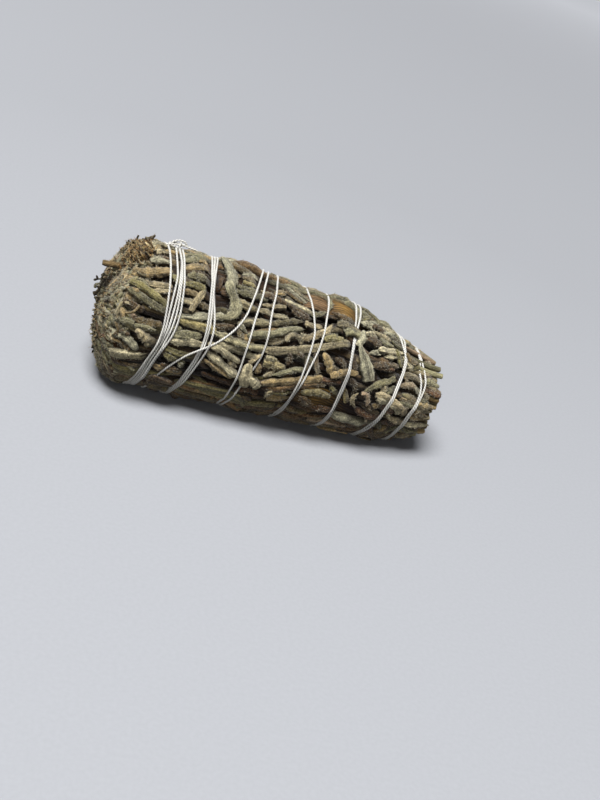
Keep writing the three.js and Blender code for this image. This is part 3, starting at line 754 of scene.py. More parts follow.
# Leaves are pressed in under the thread: a point stays below the nearest strands, less so the
# further it is to their side.
def pressedIn(points):
    x, angle, rho = whereIs(points)
    at = np.rint(angle).astype(int) % 360
    limit = np.full(rho.shape, float(outOfReach))
    for strand in range(len(strandX)):
        away = np.abs(strandX[strand, at] - x)
        under = strandRho[strand, at] - 0.25 + 0.75 * np.maximum(away - 0.4, 0)
        limit = np.fmin(limit, np.where(away < 3, under, outOfReach))
    return placeOf(x, angle, np.minimum(rho, limit))


clearOfFloor = 0.12  # mm


# Points with any that would be under the floor raised just above it.
def settledOn(points):
    points[..., 2] = np.maximum(points[..., 2], clearOfFloor)
    return points


# The head is a dome of curled leaf tips and flower husks: how many of each kind.
head = {"standing": 300, "lying": 460, "husks": 200, "rim": 90, "tuft": 230, "plume": 70, "bits": 420}

# Painted shade between the leaves, a dark brown tint multiplied into their colour: from how many mm
# below the surface, and over how many more; and painted shade round the lower side of each leaf, by
# the sine of the angle up from its edge. The stems' surface is stemEnds inside their furthest ends.
paintedShade = {"from": 0.8, "over": 1.8, "underFrom": 0.42, "underOver": 0.95, "stemEnds": 1.2,
           "tint": "#4a381d"}


# x of the dome's surface, r mm from its middle: a power of the share of its radius, flatter and
# further in underneath, with a slanting bell-shaped notch across its upper half.
def domeX(r, angle):
    share = r / stick["domeRadius"]
    low = lowShare(angle)
    sideways, up = -np.sin(np.radians(angle)) * r, -np.cos(np.radians(angle)) * r
    notch = np.exp(-((up - 6.8 + 0.45 * sideways) / 3.2) ** 2 - (sideways / 13) ** 4)
    dome = (stick["headDome"] - 1.4 * low) * share ** (1.7 + 2.3 * low)
    return np.minimum(dome, 10.5) + setBack(angle) * np.minimum(share, 1.1) ** 1.5 + stick["notch"] * notch


# The face of the head as seen: the dome, or the rounded rim where that stands further out.
def faceX(r, angle):
    rounded = stick["headRound"] + stick["headRoundLow"] * lowShare(angle)
    rim = rounded * (1 - np.sqrt(np.clip(1 - (r / stick["headRadius"]) ** 2, 0, 0.9) / 0.9)) + setBack(angle)
    return np.minimum(domeX(r, angle), rim)


# A closed skin round each of many centre lines. beside and above are how far each point of the
# section lies off its centre line, above being towards upward; each end closes on a middle point
# pushed out by endPush.
def skin(centre, upward, beside, above, endPush):
    n, stations, around = beside.shape
    tangent = np.gradient(centre, axis=1)
    tangent /= np.linalg.norm(tangent, axis=-1, keepdims=True) + 1e-9
    normal = upward - (upward * tangent).sum(-1, keepdims=True) * tangent
    normal /= np.linalg.norm(normal, axis=-1, keepdims=True) + 1e-9
    side = np.cross(tangent, normal)
    ring = centre[:, :, None] + side[:, :, None] * beside[..., None] + normal[:, :, None] * above[..., None]
    first = ring[:, 0].mean(1) - tangent[:, 0] * endPush[:, :1]
    last = ring[:, -1].mean(1) + tangent[:, -1] * endPush[:, 1:]
    points = np.concatenate([ring.reshape(n, -1, 3), first[:, None], last[:, None]], 1)
    s, j = np.meshgrid(np.arange(stations - 1), np.arange(around), indexing="ij")
    k = (j + 1) % around
    quads = np.stack([s * around + j, (s + 1) * around + j, (s + 1) * around + k, s * around + k], -1)
    j, end = np.arange(around), stations * around
    k = (j + 1) % around
    ends = np.concatenate([
        np.stack([np.full(around, end), j, k], -1),
        np.stack([np.full(around, end + 1), end - around + k, end - around + j], -1)])
    offset = (np.arange(n) * (end + 2))[:, None, None]
    return points, quads.reshape(-1, 4)[None] + offset, ends[None] + offset


# The same layout for a value given at each ring point, with the mean of the end rings at the ends.
def overSkin(values):
    n = values.shape[0]
    flat = values.reshape(n, -1, values.shape[-1])
    return np.concatenate([flat, values[:, :1].mean(2), values[:, -1:].mean(2)], 1)


# Kinds of leaf end: width at the very end, how many widths it takes to reach the full width, the
# power of that curve, and how far the end bulges out (or, broken and hollow, in).
endKinds = {
    "rounded": (0.42, 0.8, 0.5, 0.12),
    "pointed": (0.12, 2.0, 0.65, 0.10),
    "broken": (0.80, 0.4, 1.0, -0.55),
}
endShare = [0.6, 0.15, 0.25]
roughness = 0.032  # how uneven a leaf's surface is, as a share of its size


# Skins for a batch of curled leaves. The section is a circle squashed to the leaf's thickness,
# with two-, three-, five- and seven-fold ripples and a groove where the margins meet, all turning slowly
# along it; the width swells and shrinks along it and closes at the ends.
def leafSkin(centre, outward, width, thick, colours, stations, around, ends=endShare):
    n = len(width)
    pick = lambda low, high: chance.uniform(low, high, n)[:, None, None]
    full = np.linalg.norm(np.diff(centre, axis=1), axis=-1).sum(1)
    w = (width / full)[:, None]
    inner = np.linspace(0, 1, stations - 6)[None]
    edge = np.minimum(0.8 * w, 0.3)
    closing = [0 * w, 0.1 * w, 0.35 * w]  # closer together where an end closes
    at = np.concatenate([*closing, edge + (1 - 2 * edge) * inner, *(1 - c for c in closing[::-1])], 1)
    at = np.clip(at, 0, 1) * (centre.shape[1] - 1)
    low = np.minimum(at.astype(int), centre.shape[1] - 2)
    part = (at - low)[..., None]
    rows = np.arange(n)[:, None]
    line = centre[rows, low] * (1 - part) + centre[rows, low + 1] * part
    up = outward[rows, low] * (1 - part) + outward[rows, low + 1] * part
    s = (at / (centre.shape[1] - 1))[..., None]
    theta = (np.arange(around) / around * 2 * np.pi)[None, None]
    turn = pick(0, 6.28) + pick(-2.2, 2.2) * s
    section = 1 + pick(0.02, 0.16) * np.cos(2 * (theta - turn))
    section = section + pick(0.03, 0.17) * np.cos(3 * theta - turn + pick(0, 6))
    section = section + pick(0.02, 0.08) * np.cos(5 * theta + turn * 2)
    section = section + pick(0.0, 0.05) * np.cos(7 * theta - turn)
    apart = (theta - turn + np.pi) % (2 * np.pi) - np.pi
    section = section - pick(0.05, 0.55) * np.exp(-(apart / 0.45) ** 2)
    swell = pick(0.03, 0.12) * np.sin(2 * np.pi * s * pick(1.5, 4.5) + pick(0, 6)) \
        + pick(0.01, 0.05) * np.sin(2 * np.pi * s * pick(5, 9) + 2 * theta + pick(0, 6))
    for _ in range(4):
        swell = swell + pick(0.02, 0.065) * np.sin(s * full[:, None, None] * pick(0.8, 3.0)
                                                   + chance.integers(0, 4, (n, 1, 1)) * theta + pick(0, 6))
    kinds = np.array(list(endKinds.values()))[chance.choice(3, (n, 2), p=ends)]
    profile = np.ones_like(s)
    for end, gone in ((0, s), (1, 1 - s)):
        start, reach, power, _ = (kinds[:, end, i][:, None, None] for i in range(4))
        share = np.clip(gone / (w[..., None] * reach), 0, 1) ** power
        profile = profile * (start + (1 - start) * share)
    size = section * (1 + swell) * profile / 2
    size = size * (1 + roughness * chance.normal(0, 1, size.shape).clip(-1.8, 2.2))
    beside = size * width[:, None, None] * np.cos(theta)
    points, quads, caps = skin(line, up, beside, size * thick[:, None, None] * np.sin(theta),
                               kinds[:, :, 3] * width[:, None])
    length = s * full[:, None, None] + 0 * theta
    offset = chance.uniform(0, 500, (n, 1, 1))
    along = np.stack([length + offset, beside, size * width[:, None, None] * np.sin(theta)], -1)
    ridge = (section - 1 + swell)[..., None]
    # Painted shade on the lower side of each leaf, the more the lower a point lies round its section.
    under = np.clip((paintedShade["underFrom"] - np.sin(theta)) / paintedShade["underOver"], 0, 1)
    change = (1 / (1 + np.exp(-(s - pick(-0.2, 1.2)) * 9)) + 0 * theta)[..., None]
    oneEnd, otherEnd = (colours[:, i][:, None, None] for i in range(2))
    tint = oneEnd * (1 - change) + otherEnd * change
    return {"points": points, "quads": quads, "ends": caps, "alongLeaf": overSkin(along),
            "leafColour": overSkin(tint), "ridge": overSkin(ridge + 0 * tint[..., :1]),
            "under": overSkin(under[..., None] + 0 * ridge)}


# How deep a point is in the crevices, from 0 near the surface to 1.
def sunkShare(points):
    x, angle, rho = whereIs(points)
    deep = np.minimum(surfaceRadius(x, angle) - rho, x - domeX(rho, angle))
    deep = np.minimum(deep, stick["length"] - paintedShade["stemEnds"] - x)
    return np.clip((deep - paintedShade["from"]) / paintedShade["over"], 0, 1)


# Joins skins into one mesh piece. Each part is a skin, its material and which of its leaves.
def makePiece(name, parts, materials):
    points, loops, starts, indices, values = [], [], [], [], {}
    base, loopBase = 0, 0
    for part, chosen, material in parts:
        if not len(chosen):
            continue
        each = part["points"].shape[1]
        renumber = base + np.arange(len(chosen))[:, None, None] * each
        quads = (part["quads"][0][None] + renumber).reshape(-1)
        ends = (part["ends"][0][None] + renumber).reshape(-1)
        loops += [quads, ends]
        starts += [loopBase + np.arange(0, len(quads), 4), loopBase + len(quads) + np.arange(0, len(ends), 3)]
        indices.append(np.full(len(quads) // 4 + len(ends) // 3, material))
        points.append(part["points"][chosen].reshape(-1, 3))
        for key in ("alongLeaf", "leafColour", "ridge"):
            values.setdefault(key, []).append(part[key][chosen].reshape(-1, part[key].shape[-1]))
        values.setdefault("under", []).append(part["under"][chosen].ravel() if "under" in part
                                              else np.zeros(each * len(chosen)))
        base += each * len(chosen)
        loopBase += len(quads) + len(ends)
    points, loops, starts = np.concatenate(points), np.concatenate(loops), np.concatenate(starts)
    # The painted shade: the larger of how deep a point lies in the crevices and how far it lies round the
    # lower side of its leaf.
    values["sunk"] = [np.maximum(sunkShare(points), np.concatenate(values["under"]))]
    mesh = bpy.data.meshes.new(name)
    mesh.vertices.add(len(points))
    mesh.vertices.foreach_set("co", (points * mm).astype(np.float32).ravel())
    mesh.loops.add(len(loops))
    mesh.loops.foreach_set("vertex_index", loops.astype(np.int32))
    mesh.polygons.add(len(starts))
    mesh.polygons.foreach_set("loop_start", starts.astype(np.int32))
    mesh.polygons.foreach_set("material_index", np.concatenate(indices).astype(np.int32))
    for key, kind, field in (("alongLeaf", "FLOAT_VECTOR", "vector"), ("ridge", "FLOAT", "value"),
                             ("sunk", "FLOAT", "value")):
        mesh.attributes.new(key, kind, "POINT").data.foreach_set(
            field, np.concatenate(values[key]).astype(np.float32).ravel())
    colour = np.concatenate(values["leafColour"])
    colour = np.concatenate([colour, np.ones((len(colour), 1))], 1)
    mesh.attributes.new("leafColour", "FLOAT_COLOR", "POINT").data.foreach_set(
        "color", colour.astype(np.float32).ravel())
    for material in materials:
        mesh.materials.append(material)
    mesh.update(calc_edges=True)
    mesh.shade_smooth()
    piece = bpy.data.objects.new(name, mesh)
    bpy.context.scene.collection.objects.link(piece)
    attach(piece, "root")
    return piece


# Two colours for each leaf, one for each end: its own, a little lighter or darker, and mostly
# something near it.
def coloursOf(names, spread=0.16):
    own = np.array([linear(leafColours[name]) for name in names])
    others = chance.choice(list(leafColours)[:9], len(names))
    other = np.array([linear(leafColours[name]) for name in others])
    own = own * np.exp(chance.normal(0, spread, (len(names), 1)))
    near = chance.uniform(0, 0.7, (len(names), 1)) ** 2
    return np.stack([own, own * (1 - near) + other * near], 1)


# One value of every leaf in a batch, as an array.
def stacked(batch, key):
    return np.stack([leaf[key] for leaf in batch])


# Centre lines and outward directions of leaves that lie on the bundle.
def linesOf(batch):
    x, angle, rho = stacked(batch, "x"), stacked(batch, "angle"), stacked(batch, "rho")
    centre = placeOf(x, angle, rho)
    return centre, placeOf(x, angle, rho + 1) - centre


# The skins of a batch of leaves lying on the bundle, with so many rings along each and points round.
def batchSkin(batch, stations, around, press=True, spread=0.16):
    centre, outward = linesOf(batch)
    made = leafSkin(centre, outward, stacked(batch, "width"), stacked(batch, "thick"),
                    coloursOf([leaf["colour"] for leaf in batch], spread), stations, around)
    if press:
        made["points"] = pressedIn(made["points"])
    made["points"] = settledOn(made["points"])
    return made


# Leaves deep under others are made coarser.
for leaf in leaves:
    deep = height[cell(leaf["x"], leaf["angle"])] - leaf["rho"] - leaf["thick"] / 2
    leaf["deep"] = float(np.percentile(deep, 30))
telling = [leaf for leaf in leaves[:pressedCount] if leaf.get("telling")]
loose = [leaf for leaf in leaves if leaf.get("loose")]
plain = [leaf for leaf in leaves if not leaf.get("telling") and leaf["deep"] <= 0.7]
under = [leaf for leaf in leaves if not leaf.get("telling") and 0.7 < leaf["deep"] <= 1.8]
buried = [leaf for leaf in leaves if not leaf.get("telling") and leaf["deep"] > 1.8]
print("leaves: %d telling, %d plain, %d under them, %d buried"
      % (len(telling) + len(loose), len(plain), len(under), len(buried)))
batches = [
    (telling, batchSkin(telling, 34, 14, spread=0.07)),
    (loose, batchSkin(loose, 38, 16, press=False, spread=0.07)),
    (plain, batchSkin(plain, 18, 10)),
    (under, batchSkin(under, 12, 8)),
    (buried, batchSkin(buried, 10, 6)),
]


# Points over the head from a place (across, up) on its disc, sunk below its surface along the
# direction square to it.
def onDome(place, sunk, depthAt=domeX):
    sideways, up = place[..., 0], place[..., 1]
    r = np.hypot(sideways, up) + 1e-6
    angle = np.degrees(np.arctan2(-sideways, -up)) % 360
    slope = np.clip((depthAt(r + 0.2, angle) - depthAt(r, angle)) / 0.2, -1, 2.5)
    out = np.stack([-np.ones_like(r), slope * sideways / r, slope * up / r], -1)
    out /= np.linalg.norm(out, axis=-1, keepdims=True)
    surface = np.stack([stick["headX"] + depthAt(r, angle), sideways, up + bundleMiddle(0.0)], -1)
    return surface - out * sunk[..., None], out


# Evenly scattered places on a disc, by the golden angle, each moved a little.
def scattered(count, radius, moved):
    k = np.arange(count) + 0.5
    r = radius * np.sqrt(k / count)
    a = k * 2.39996
    return np.stack([r * np.cos(a), r * np.sin(a)], -1) + chance.normal(0, moved, (count, 2))


# The head's small leaves, as three skins: each walks over the dome or round its rim, turning as
# it goes, with its ends curled in or out by a power of the way along.
def headLeaves():
    t = np.linspace(0, 1, 12)[None, :, None]
    # leaf tips that stand out of the head and curl over
    count = head["standing"]
    foot = scattered(count, 18.5, 0.5)[:, None] + 0 * t
    lean = chance.normal(0, 1, (count, 1, 2))
    reach = chance.uniform(1.0, 4.0, (count, 1, 1))
    lean = lean / np.linalg.norm(lean, axis=-1, keepdims=True)
    sunk = 7.5 * (1 - t[..., 0]) ** 1.2 + chance.uniform(-0.5, 1.6, (count, 1)) \
        + chance.uniform(0, 7, (count, 1)) * np.clip(t[..., 0] - 0.75, 0, 1) ** 1.3
    line, out = onDome(foot + lean * reach * (t ** 2 - 0.4), sunk)
    size = chance.uniform(1.0, 2.0, count)
    names = [colourAt(0, 180) for _ in range(count)]
    yield leafSkin(line, out, size, size * chance.uniform(0.6, 0.95, count), coloursOf(names), 10, 7)
    # curled leaves that lie on it
    count = head["lying"]
    s = np.linspace(-0.5, 0.5, 14)[None]
    turn = chance.uniform(0, 6.28, (count, 1)) + chance.normal(0, 2.4, (count, 1)) * s \
        + chance.normal(0, 0.6, (count, 1)) * np.sin(2 * np.pi * s)
    long = chance.uniform(3, 7.5, (count, 1)) / 13
    path = np.stack([np.cumsum(np.cos(turn), 1), np.cumsum(np.sin(turn), 1)], -1) * long[..., None]
    path += scattered(count, 19.0, 1.0)[:, None] - path[:, 7:8]
    sunk = 0.3 + chance.uniform(0, 1.5, (count, 1)) \
        + 2.4 * (2 * np.abs(s)) ** 2 * chance.uniform(0.1, 1, (count, 1))
    line, out = onDome(path, sunk, faceX)
    size = chance.uniform(1.0, 1.9, count)
    names = [colourAt(2, 180) for _ in range(count)]
    yield leafSkin(line, out, size, size * chance.uniform(0.5, 0.9, count), coloursOf(names), 12, 8)
    # bits of leaf curled every way round its rim
    count = head["bits"]
    outwards = chance.random((count, 1)) < 0.45
    turn = np.where(outwards, chance.normal(np.pi, 0.8, (count, 1)), chance.uniform(0, 6.28, (count, 1))) \
        + chance.normal(0, 1, (count, 1)) * np.where(outwards, 1.6, 3.2) * s
    long = chance.uniform(2.2, 6, (count, 1)) / 13
    angle = chance.uniform(0, 360, (count, 1)) + np.degrees(np.cumsum(np.sin(turn), 1) * long / 21)
    x = 1.2 + 5.5 * chance.random((count, 1)) ** 1.3 + np.cumsum(np.cos(turn), 1) * long
    x = np.maximum(x, 0.3) + 0.8 * setBack(angle)
    rho = surfaceRadius(x, angle) - chance.uniform(0.2, 1.6, (count, 1)) \
        - 1.5 * s ** 2 * chance.random((count, 1))
    line = placeOf(x, angle, rho)
    size = chance.uniform(0.9, 1.8, count)
    names = [colourAt(1, 180) for _ in range(count)]
    yield leafSkin(line, placeOf(x, angle, rho + 1) - line, size, size * chance.uniform(0.5, 0.9, count),
                   coloursOf(names), 10, 7)


# Small dry husks of lavender flowers: over the head, and thick in a tuft on its upper rim.
def flowerHusks():
    count = head["husks"] + head["rim"] + head["tuft"] + head["plume"]
    place, out = onDome(scattered(count, 21.0, 0.7)[::-1], chance.uniform(-0.4, 1.2, count), faceX)
    order = np.arange(count)
    inTuft = order < head["tuft"]
    inPlume = ~inTuft & (order < head["tuft"] + head["plume"])
    onRim = order < count - head["husks"]
    angle = np.where(inTuft, chance.normal(176, 8, count), chance.uniform(0, 360, count))
    angle = np.where(inPlume, chance.normal(196, 9, count), angle)
    x = np.where(inTuft, chance.normal(7.6, 1.4, count),
                 0.8 + 5 * chance.random(count) ** 1.3 + setBack(angle))
    x = np.where(inPlume, chance.normal(5.0, 1.0, count), x)
    rim = placeOf(x, angle, surfaceRadius(np.maximum(x, 2), angle) + chance.uniform(-1.2, 0.3, count))
    rimOut = placeOf(x, angle, 10.0) - placeOf(x, angle, 9.0) + [-0.5, 0, 0]
    place = np.where(onRim[:, None], rim, place)
    out = np.where(onRim[:, None], rimOut, out)
    lean = np.where(inTuft[:, None], [-0.9, 0, 0.2], 0) + np.where(inPlume[:, None], [-0.8, 0, 0.3], 0)
    direction = out + chance.normal(0, 0.7, (count, 3)) + lean
    direction /= np.linalg.norm(direction, axis=-1, keepdims=True)
    t = np.linspace(-0.5, 0.5, 6)[None, :, None]
    long = chance.uniform(1.2, 2.4, (count, 1, 1)) * np.where(inTuft | inPlume, 1.35, 1)[:, None, None]
    bow = np.cross(direction, chance.normal(0, 1, (count, 3)))[:, None] * 0.12
    line = place[:, None] + direction[:, None] * t * long + bow * long * (4 * t * t)
    size = chance.uniform(0.5, 0.95, count) * np.where(inTuft, 1.2, 1)
    names = [chance.choice(["amber", "amber", "tan", "straw", "paleTan", "cream"] if tuft else
                           ["sage", "sage", "greyTan", "silver", "moss", "drab"]) for tuft in inTuft]
    return leafSkin(line, np.broadcast_to(bow + [[[0, 0, 1e-3]]], line.shape), size,
                    size * 0.9, coloursOf(names, 0.22), 8, 5)


# Down on the leaves: short pale fibres that stand out of them, each a three-sided spindle. Roots
# are points on the leaves' skins, taken where they face outwards and near the surface.
fibres = {"wanted": (7000, 1500, 7000), "head": 1300, "tuft": 3000, "tried": 25, "width": 0.17,
          "shortest": 0.35, "longest": 0.95, "tint": "#dcd6bf", "tuftTint": "#c99c5e", "paled": 0.55,
          "pastHead": 2.8, "farthestSide": 23.5, "highest": 48.1, "lowest": 0.5, "onlyAbove": 66}


# A spindle is a ring of three points a quarter of the way up its fibre, and a point at each end.
def downOn(made, wanted, longer=1.0, pale=fibres["tint"]):
    count = wanted * fibres["tried"]
    each = made["points"].shape[1]
    around = each - 2 - made["quads"].shape[1]
    rings = made["points"][:, :-2].reshape(len(made["points"]), -1, around, 3)
    leaf, station = chance.integers(0, len(rings), count), chance.integers(1, rings.shape[1] - 1, count)
    point = chance.integers(0, around, count)
    root = rings[leaf, station, point]
    out = root - rings[leaf, station].mean(1)
    out /= np.linalg.norm(out, axis=-1, keepdims=True) + 1e-9
    along = rings[leaf, station + 1, point] - rings[leaf, station - 1, point]
    along /= np.linalg.norm(along, axis=-1, keepdims=True) + 1e-9
    direction = out * chance.uniform(0.35, 1, (count, 1)) + along * chance.normal(0, 0.6, (count, 1)) \
        + chance.normal(0, 0.25, (count, 3))
    direction /= np.linalg.norm(direction, axis=-1, keepdims=True)
    long = chance.uniform(fibres["shortest"], fibres["longest"], (count, 1)) * longer
    tip = root + direction * long
    _, angle, rho = whereIs(root)
    above = np.minimum(angle, 360 - angle) > fibres["onlyAbove"]
    outwards = (whereIs(root + out)[2] > rho + 0.1) & above | (out[:, 0] < -0.5)
    inside = (tip[:, 0] > stick["headX"] - fibres["pastHead"]) \
        & (np.abs(tip[:, 1]) < fibres["farthestSide"]) \
        & (tip[:, 2] < fibres["highest"]) & (tip[:, 2] > fibres["lowest"])
    keep = np.flatnonzero(outwards & inside & (sunkShare(root) < 0.3))[:wanted]
    root, direction, long = root[keep], direction[keep], long[keep]
    leaf, station, point = leaf[keep], station[keep], point[keep]
    count = len(root)
    side = np.cross(direction, chance.normal(0, 1, (count, 3)))
    side /= np.linalg.norm(side, axis=-1, keepdims=True)
    other = np.cross(direction, side)
    theta = (np.arange(3) / 3 * 2 * np.pi)[None, :, None]
    size = fibres["width"] / 2 * chance.uniform(0.7, 1.3, (count, 1, 1))
    ring = (root + 0.25 * long * direction)[:, None] \
        + size * (side[:, None] * np.cos(theta) + other[:, None] * np.sin(theta))
    foot, tip = root - 0.2 * long * direction, root + long * direction
    points = np.concatenate([ring, foot[:, None], tip[:, None]], 1)
    own = made["leafColour"][leaf, station * around + point]
    tint = (1 - fibres["paled"]) * own + fibres["paled"] * linear(pale)
    tint = tint * chance.uniform(0.8, 1.15, (count, 1))
    blank = np.zeros((count, 5, 1))
    return {"points": settledOn(pressedIn(points)), "quads": np.zeros((1, 0, 4), int),
            "ends": np.array([[(1, 0, 3), (2, 1, 3), (0, 2, 3), (0, 1, 4), (1, 2, 4), (2, 0, 4)]]),
            "alongLeaf": blank + chance.uniform(0, 500, (count, 1, 3)),
            "leafColour": blank + tint[:, None], "ridge": blank}


# The stems: square, straight, side by side inside the bundle, cut straight across at the narrow
# end, with a pale face. reach and moved are shares of the bundle's radius; its middle stems stick
# out furthest, the outer ones less by dished, and all end raggedly.
stems = {
    "count": 94,
    "width": 1.85,
    "squareness": 0.09,
    "reach": 0.74,
    "moved": 0.025,
    "from": 13,
    "to": 115.8,
    "dished": 1.8,
    "ragged": 2.8,
    "cutFace": "#b3a283",
    "colours": {"greyTan": 0.42, "tan": 0.06, "drab": 0.14, "sage": 0.28, "olive": 0.1},
    "outerColours": {"greyTan": 0.3, "sage": 0.35, "silver": 0.2, "rose": 0.15},
}


# Each stem is a straight line with a little bow, and its section a circle with four low corners
# and twelve fine ribs, rolled by a different amount on each and turning slowly along it.
def stemSkin():
    inner = scattered(stems["count"], stems["reach"], stems["moved"])
    angle = np.degrees(np.arctan2(-inner[:, 0], -inner[:, 1]))
    share = np.hypot(inner[:, 0], inner[:, 1])
    start = stems["from"] + chance.uniform(-3, 3, len(inner))
    end = stems["to"] - stems["dished"] * share ** 2 - chance.uniform(0, stems["ragged"], len(inner))
    outerStems = np.array(surfaceStems, float).T
    startAngle, outerStart, endAngle, outerEnd, sunkStart, sunkEnd, outerWidth = outerStems
    t = np.concatenate([[0, 0.001, 0.004], np.linspace(0.03, 0.985, 7), [0.996, 0.9995, 1.0]])[None]
    n = len(inner) + len(surfaceStems)
    outerAngle = startAngle[:, None] + (endAngle - startAngle)[:, None] * t
    angle = np.concatenate([angle[:, None] + 0 * t, outerAngle])
    angle = angle + chance.normal(0, 1.0, (n, 1)) * np.sin(3 * t)
    start = np.concatenate([start, outerStart])[:, None]
    end = np.concatenate([end, outerEnd])[:, None]
    x = start + (end - start) * t
    sunk = np.zeros((n, 1)) + 0 * t
    sunk[len(inner):] = sunkStart[:, None] + (sunkEnd - sunkStart)[:, None] * t
    width = np.concatenate([stems["width"] * chance.uniform(0.75, 1.2, len(inner)), outerWidth])
    spread = 1 + 0.2 * np.clip((x[:len(inner)] - 98) / 14, 0, 1)
    rho = np.concatenate([share[:, None] * spread * bundleRadius(x[:len(inner)]),
                          surfaceRadius(x[len(inner):], angle[len(inner):])])
    rho = rho - sunk - np.where(np.arange(n) < len(inner), 0, width / 2)[:, None]
    line = placeOf(x, angle, rho)
    up = placeOf(x, angle, rho + 1) - line
    theta = (np.arange(12) / 12 * 2 * np.pi)[None, None]
    roll = chance.uniform(0, 1.5, n)[:, None, None] + chance.normal(0, 0.4, n)[:, None, None] * t[..., None]
    section = 1 + stems["squareness"] * np.cos(4 * (theta - roll)) + 0.03 * np.cos(12 * (theta - roll) + 1)
    close = np.ones_like(t)
    close[0, [0, -1]] = 0.88
    size = section * close[..., None] * width[:, None, None] / 2
    size = size * (1 + 0.05 * np.sin(t * 40 + 7 * roll[..., 0])[..., None])
    points, quads, ends = skin(line, up, size * np.cos(theta), size * np.sin(theta) * 0.94,
                               np.full((n, 2), -0.12))
    names = chance.choice(list(stems["colours"]), n, p=list(stems["colours"].values()))
    outer = stems["outerColours"]
    names[len(inner):] = chance.choice(list(outer), n - len(inner), p=list(outer.values()))
    tint = coloursOf(names)[:, 0][:, None, None] + 0 * size[..., None]
    tint[:, [0, -1]] = linear(stems["cutFace"])
    along = np.stack([(x - start)[..., None] + 0 * theta + np.arange(n)[:, None, None] * 9.1,
                      size * np.cos(theta), size * np.sin(theta)], -1)
    return {"points": points, "quads": quads, "ends": ends, "alongLeaf": overSkin(along),
            "leafColour": overSkin(tint), "ridge": overSkin((section - 1 + 0 * size)[..., None])}


# Odd woody twigs at the head: a broken stub on the upper rim, and a thin dark one whose small
# leaves stick out past the end. Each is (x, angle, rho) points, width, colour.
twigs = [
    ([(4.9, 175.8, 13.8), (2.4, 175.8, 13.7), (0, 175.7, 13.5), (-2.0, 175.7, 13.3)], 2.3, "drab"),
    ([(4.0, 173.4, 8.7), (2.1, 173.5, 8.8), (0, 173.2, 8.4), (-2.1, 172.5, 7.6)], 0.6, "twig"),
    ([(-2.0, 172.5, 7.7), (-2.8, 172.0, 7.3), (-3.1, 171.7, 7.0)], 0.95, "twig"),
    ([(-1.9, 172.4, 7.5), (-2.4, 173.0, 8.2), (-2.7, 173.4, 8.7)], 0.9, "twig"),
    ([(-0.2, 173.0, 8.2), (-0.6, 170.4, 6.0), (-0.9, 166.3, 4.2), (-1.8, 152.6, 2.2)], 0.75, "twig"),
    ([(-0.9, 167.4, 4.6), (-1.5, 162.8, 3.4), (-2.3, 159.5, 2.8)], 1.1, "twig"),
    ([(0.2, 172.8, 7.9), (1.1, 171.2, 6.5), (1.1, 169.4, 5.5)], 1.0, "twig"),
    ([(-1.1, 171.2, 6.6), (-2.1, 169.7, 5.6), (-2.2, 167.8, 4.7)], 1.0, "twig"),
    ([(-1.1, 172.8, 7.9), (-0.8, 173.9, 9.4), (-0.7, 174.3, 10.1)], 0.8, "twig"),
    ([(9, 268, 18), (5, 271, 20.0), (2.6, 273, 20.4)], 0.7, "twig"),
    ([(9, 318, 18), (5, 322, 19.8), (3.0, 326, 20.0)], 1.1, "umber"),
]


# Each twig is a leaf's skin along a smooth path through its points.
def twigSkin():
    where = np.stack([throughPoints(points, 14) for points, width, colour in twigs])
    line = placeOf(where[..., 0], where[..., 1], where[..., 2])
    up = placeOf(where[..., 0], where[..., 1], where[..., 2] + 1) - line
    width = np.array([width for points, width, colour in twigs])
    names = [colour for *_, colour in twigs]
    return leafSkin(line, up, width, width * 0.8, coloursOf(names, 0.1), 14, 8, ends=[0.6, 0, 0.4])


# The citronella blades: a strip with fine ribs along it, its edges bent down, closed underneath.
def bladeSkin(blade):
    centre = placeOf(blade["x"], blade["angle"], blade["rho"])[None]
    up = placeOf(blade["x"], blade["angle"], blade["rho"] + 1)[None] - centre
    stations = centre.shape[1]
    v = np.concatenate([np.linspace(1, -1, 34), np.linspace(-1, 1, 12)[1:-1]])[None, None]
    top = (np.arange(v.size) < 34)[None, None]
    s = np.linspace(0, 1, stations)[None, :, None]
    wide = blade["width"] / 2 * np.clip(np.minimum(s, 1 - s) * 9, 0.12, 1) ** 0.6
    wide = wide * (1 + 0.06 * np.sin(s * 23) + 0.04 * np.sin(s * 51 + 1))
    rib = bladeForm["ribHeight"] * np.cos(v * blade["width"] / 2 * 2 * np.pi / bladeForm["ribSpacing"])
    wave = 0.35 * np.sin(s * 31 + 2 * v) * v ** 2 + 0.12 * np.sin(s * 57 - 3 * v)
    half = bladeForm["thickness"] / 2
    above = np.where(top, half + rib, -half) - bladeForm["bentDown"] * v ** 2 + wave
    points, quads, ends = skin(centre, up, v * wide + 0 * s, above + 0 * s, np.full((1, 2), 0.1))
    long = s * 110 + 0 * v
    along = np.stack([long, v * blade["width"] / 2 + 0 * s, above + 0 * s], -1)
    # Painted light: lighter and more orange along the stretch where the blade lies bare on top.
    fromPaintedLight = (blade["x"][None, :, None, None] - bladeForm["paintedLightAt"]) / bladeForm["paintedLightWidth"]
    paintedLight = np.exp(-fromPaintedLight ** 4)
    tint = linear(blade["tint"]) * (1 - paintedLight) + linear(blade.get("paintedLight", blade["tint"])) * paintedLight + 0 * along
    return {"points": settledOn(pressedIn(points)), "quads": quads, "ends": ends,
            "alongLeaf": overSkin(along), "leafColour": overSkin(tint),
            "ridge": overSkin((rib * 2 + 0 * s)[..., None])}


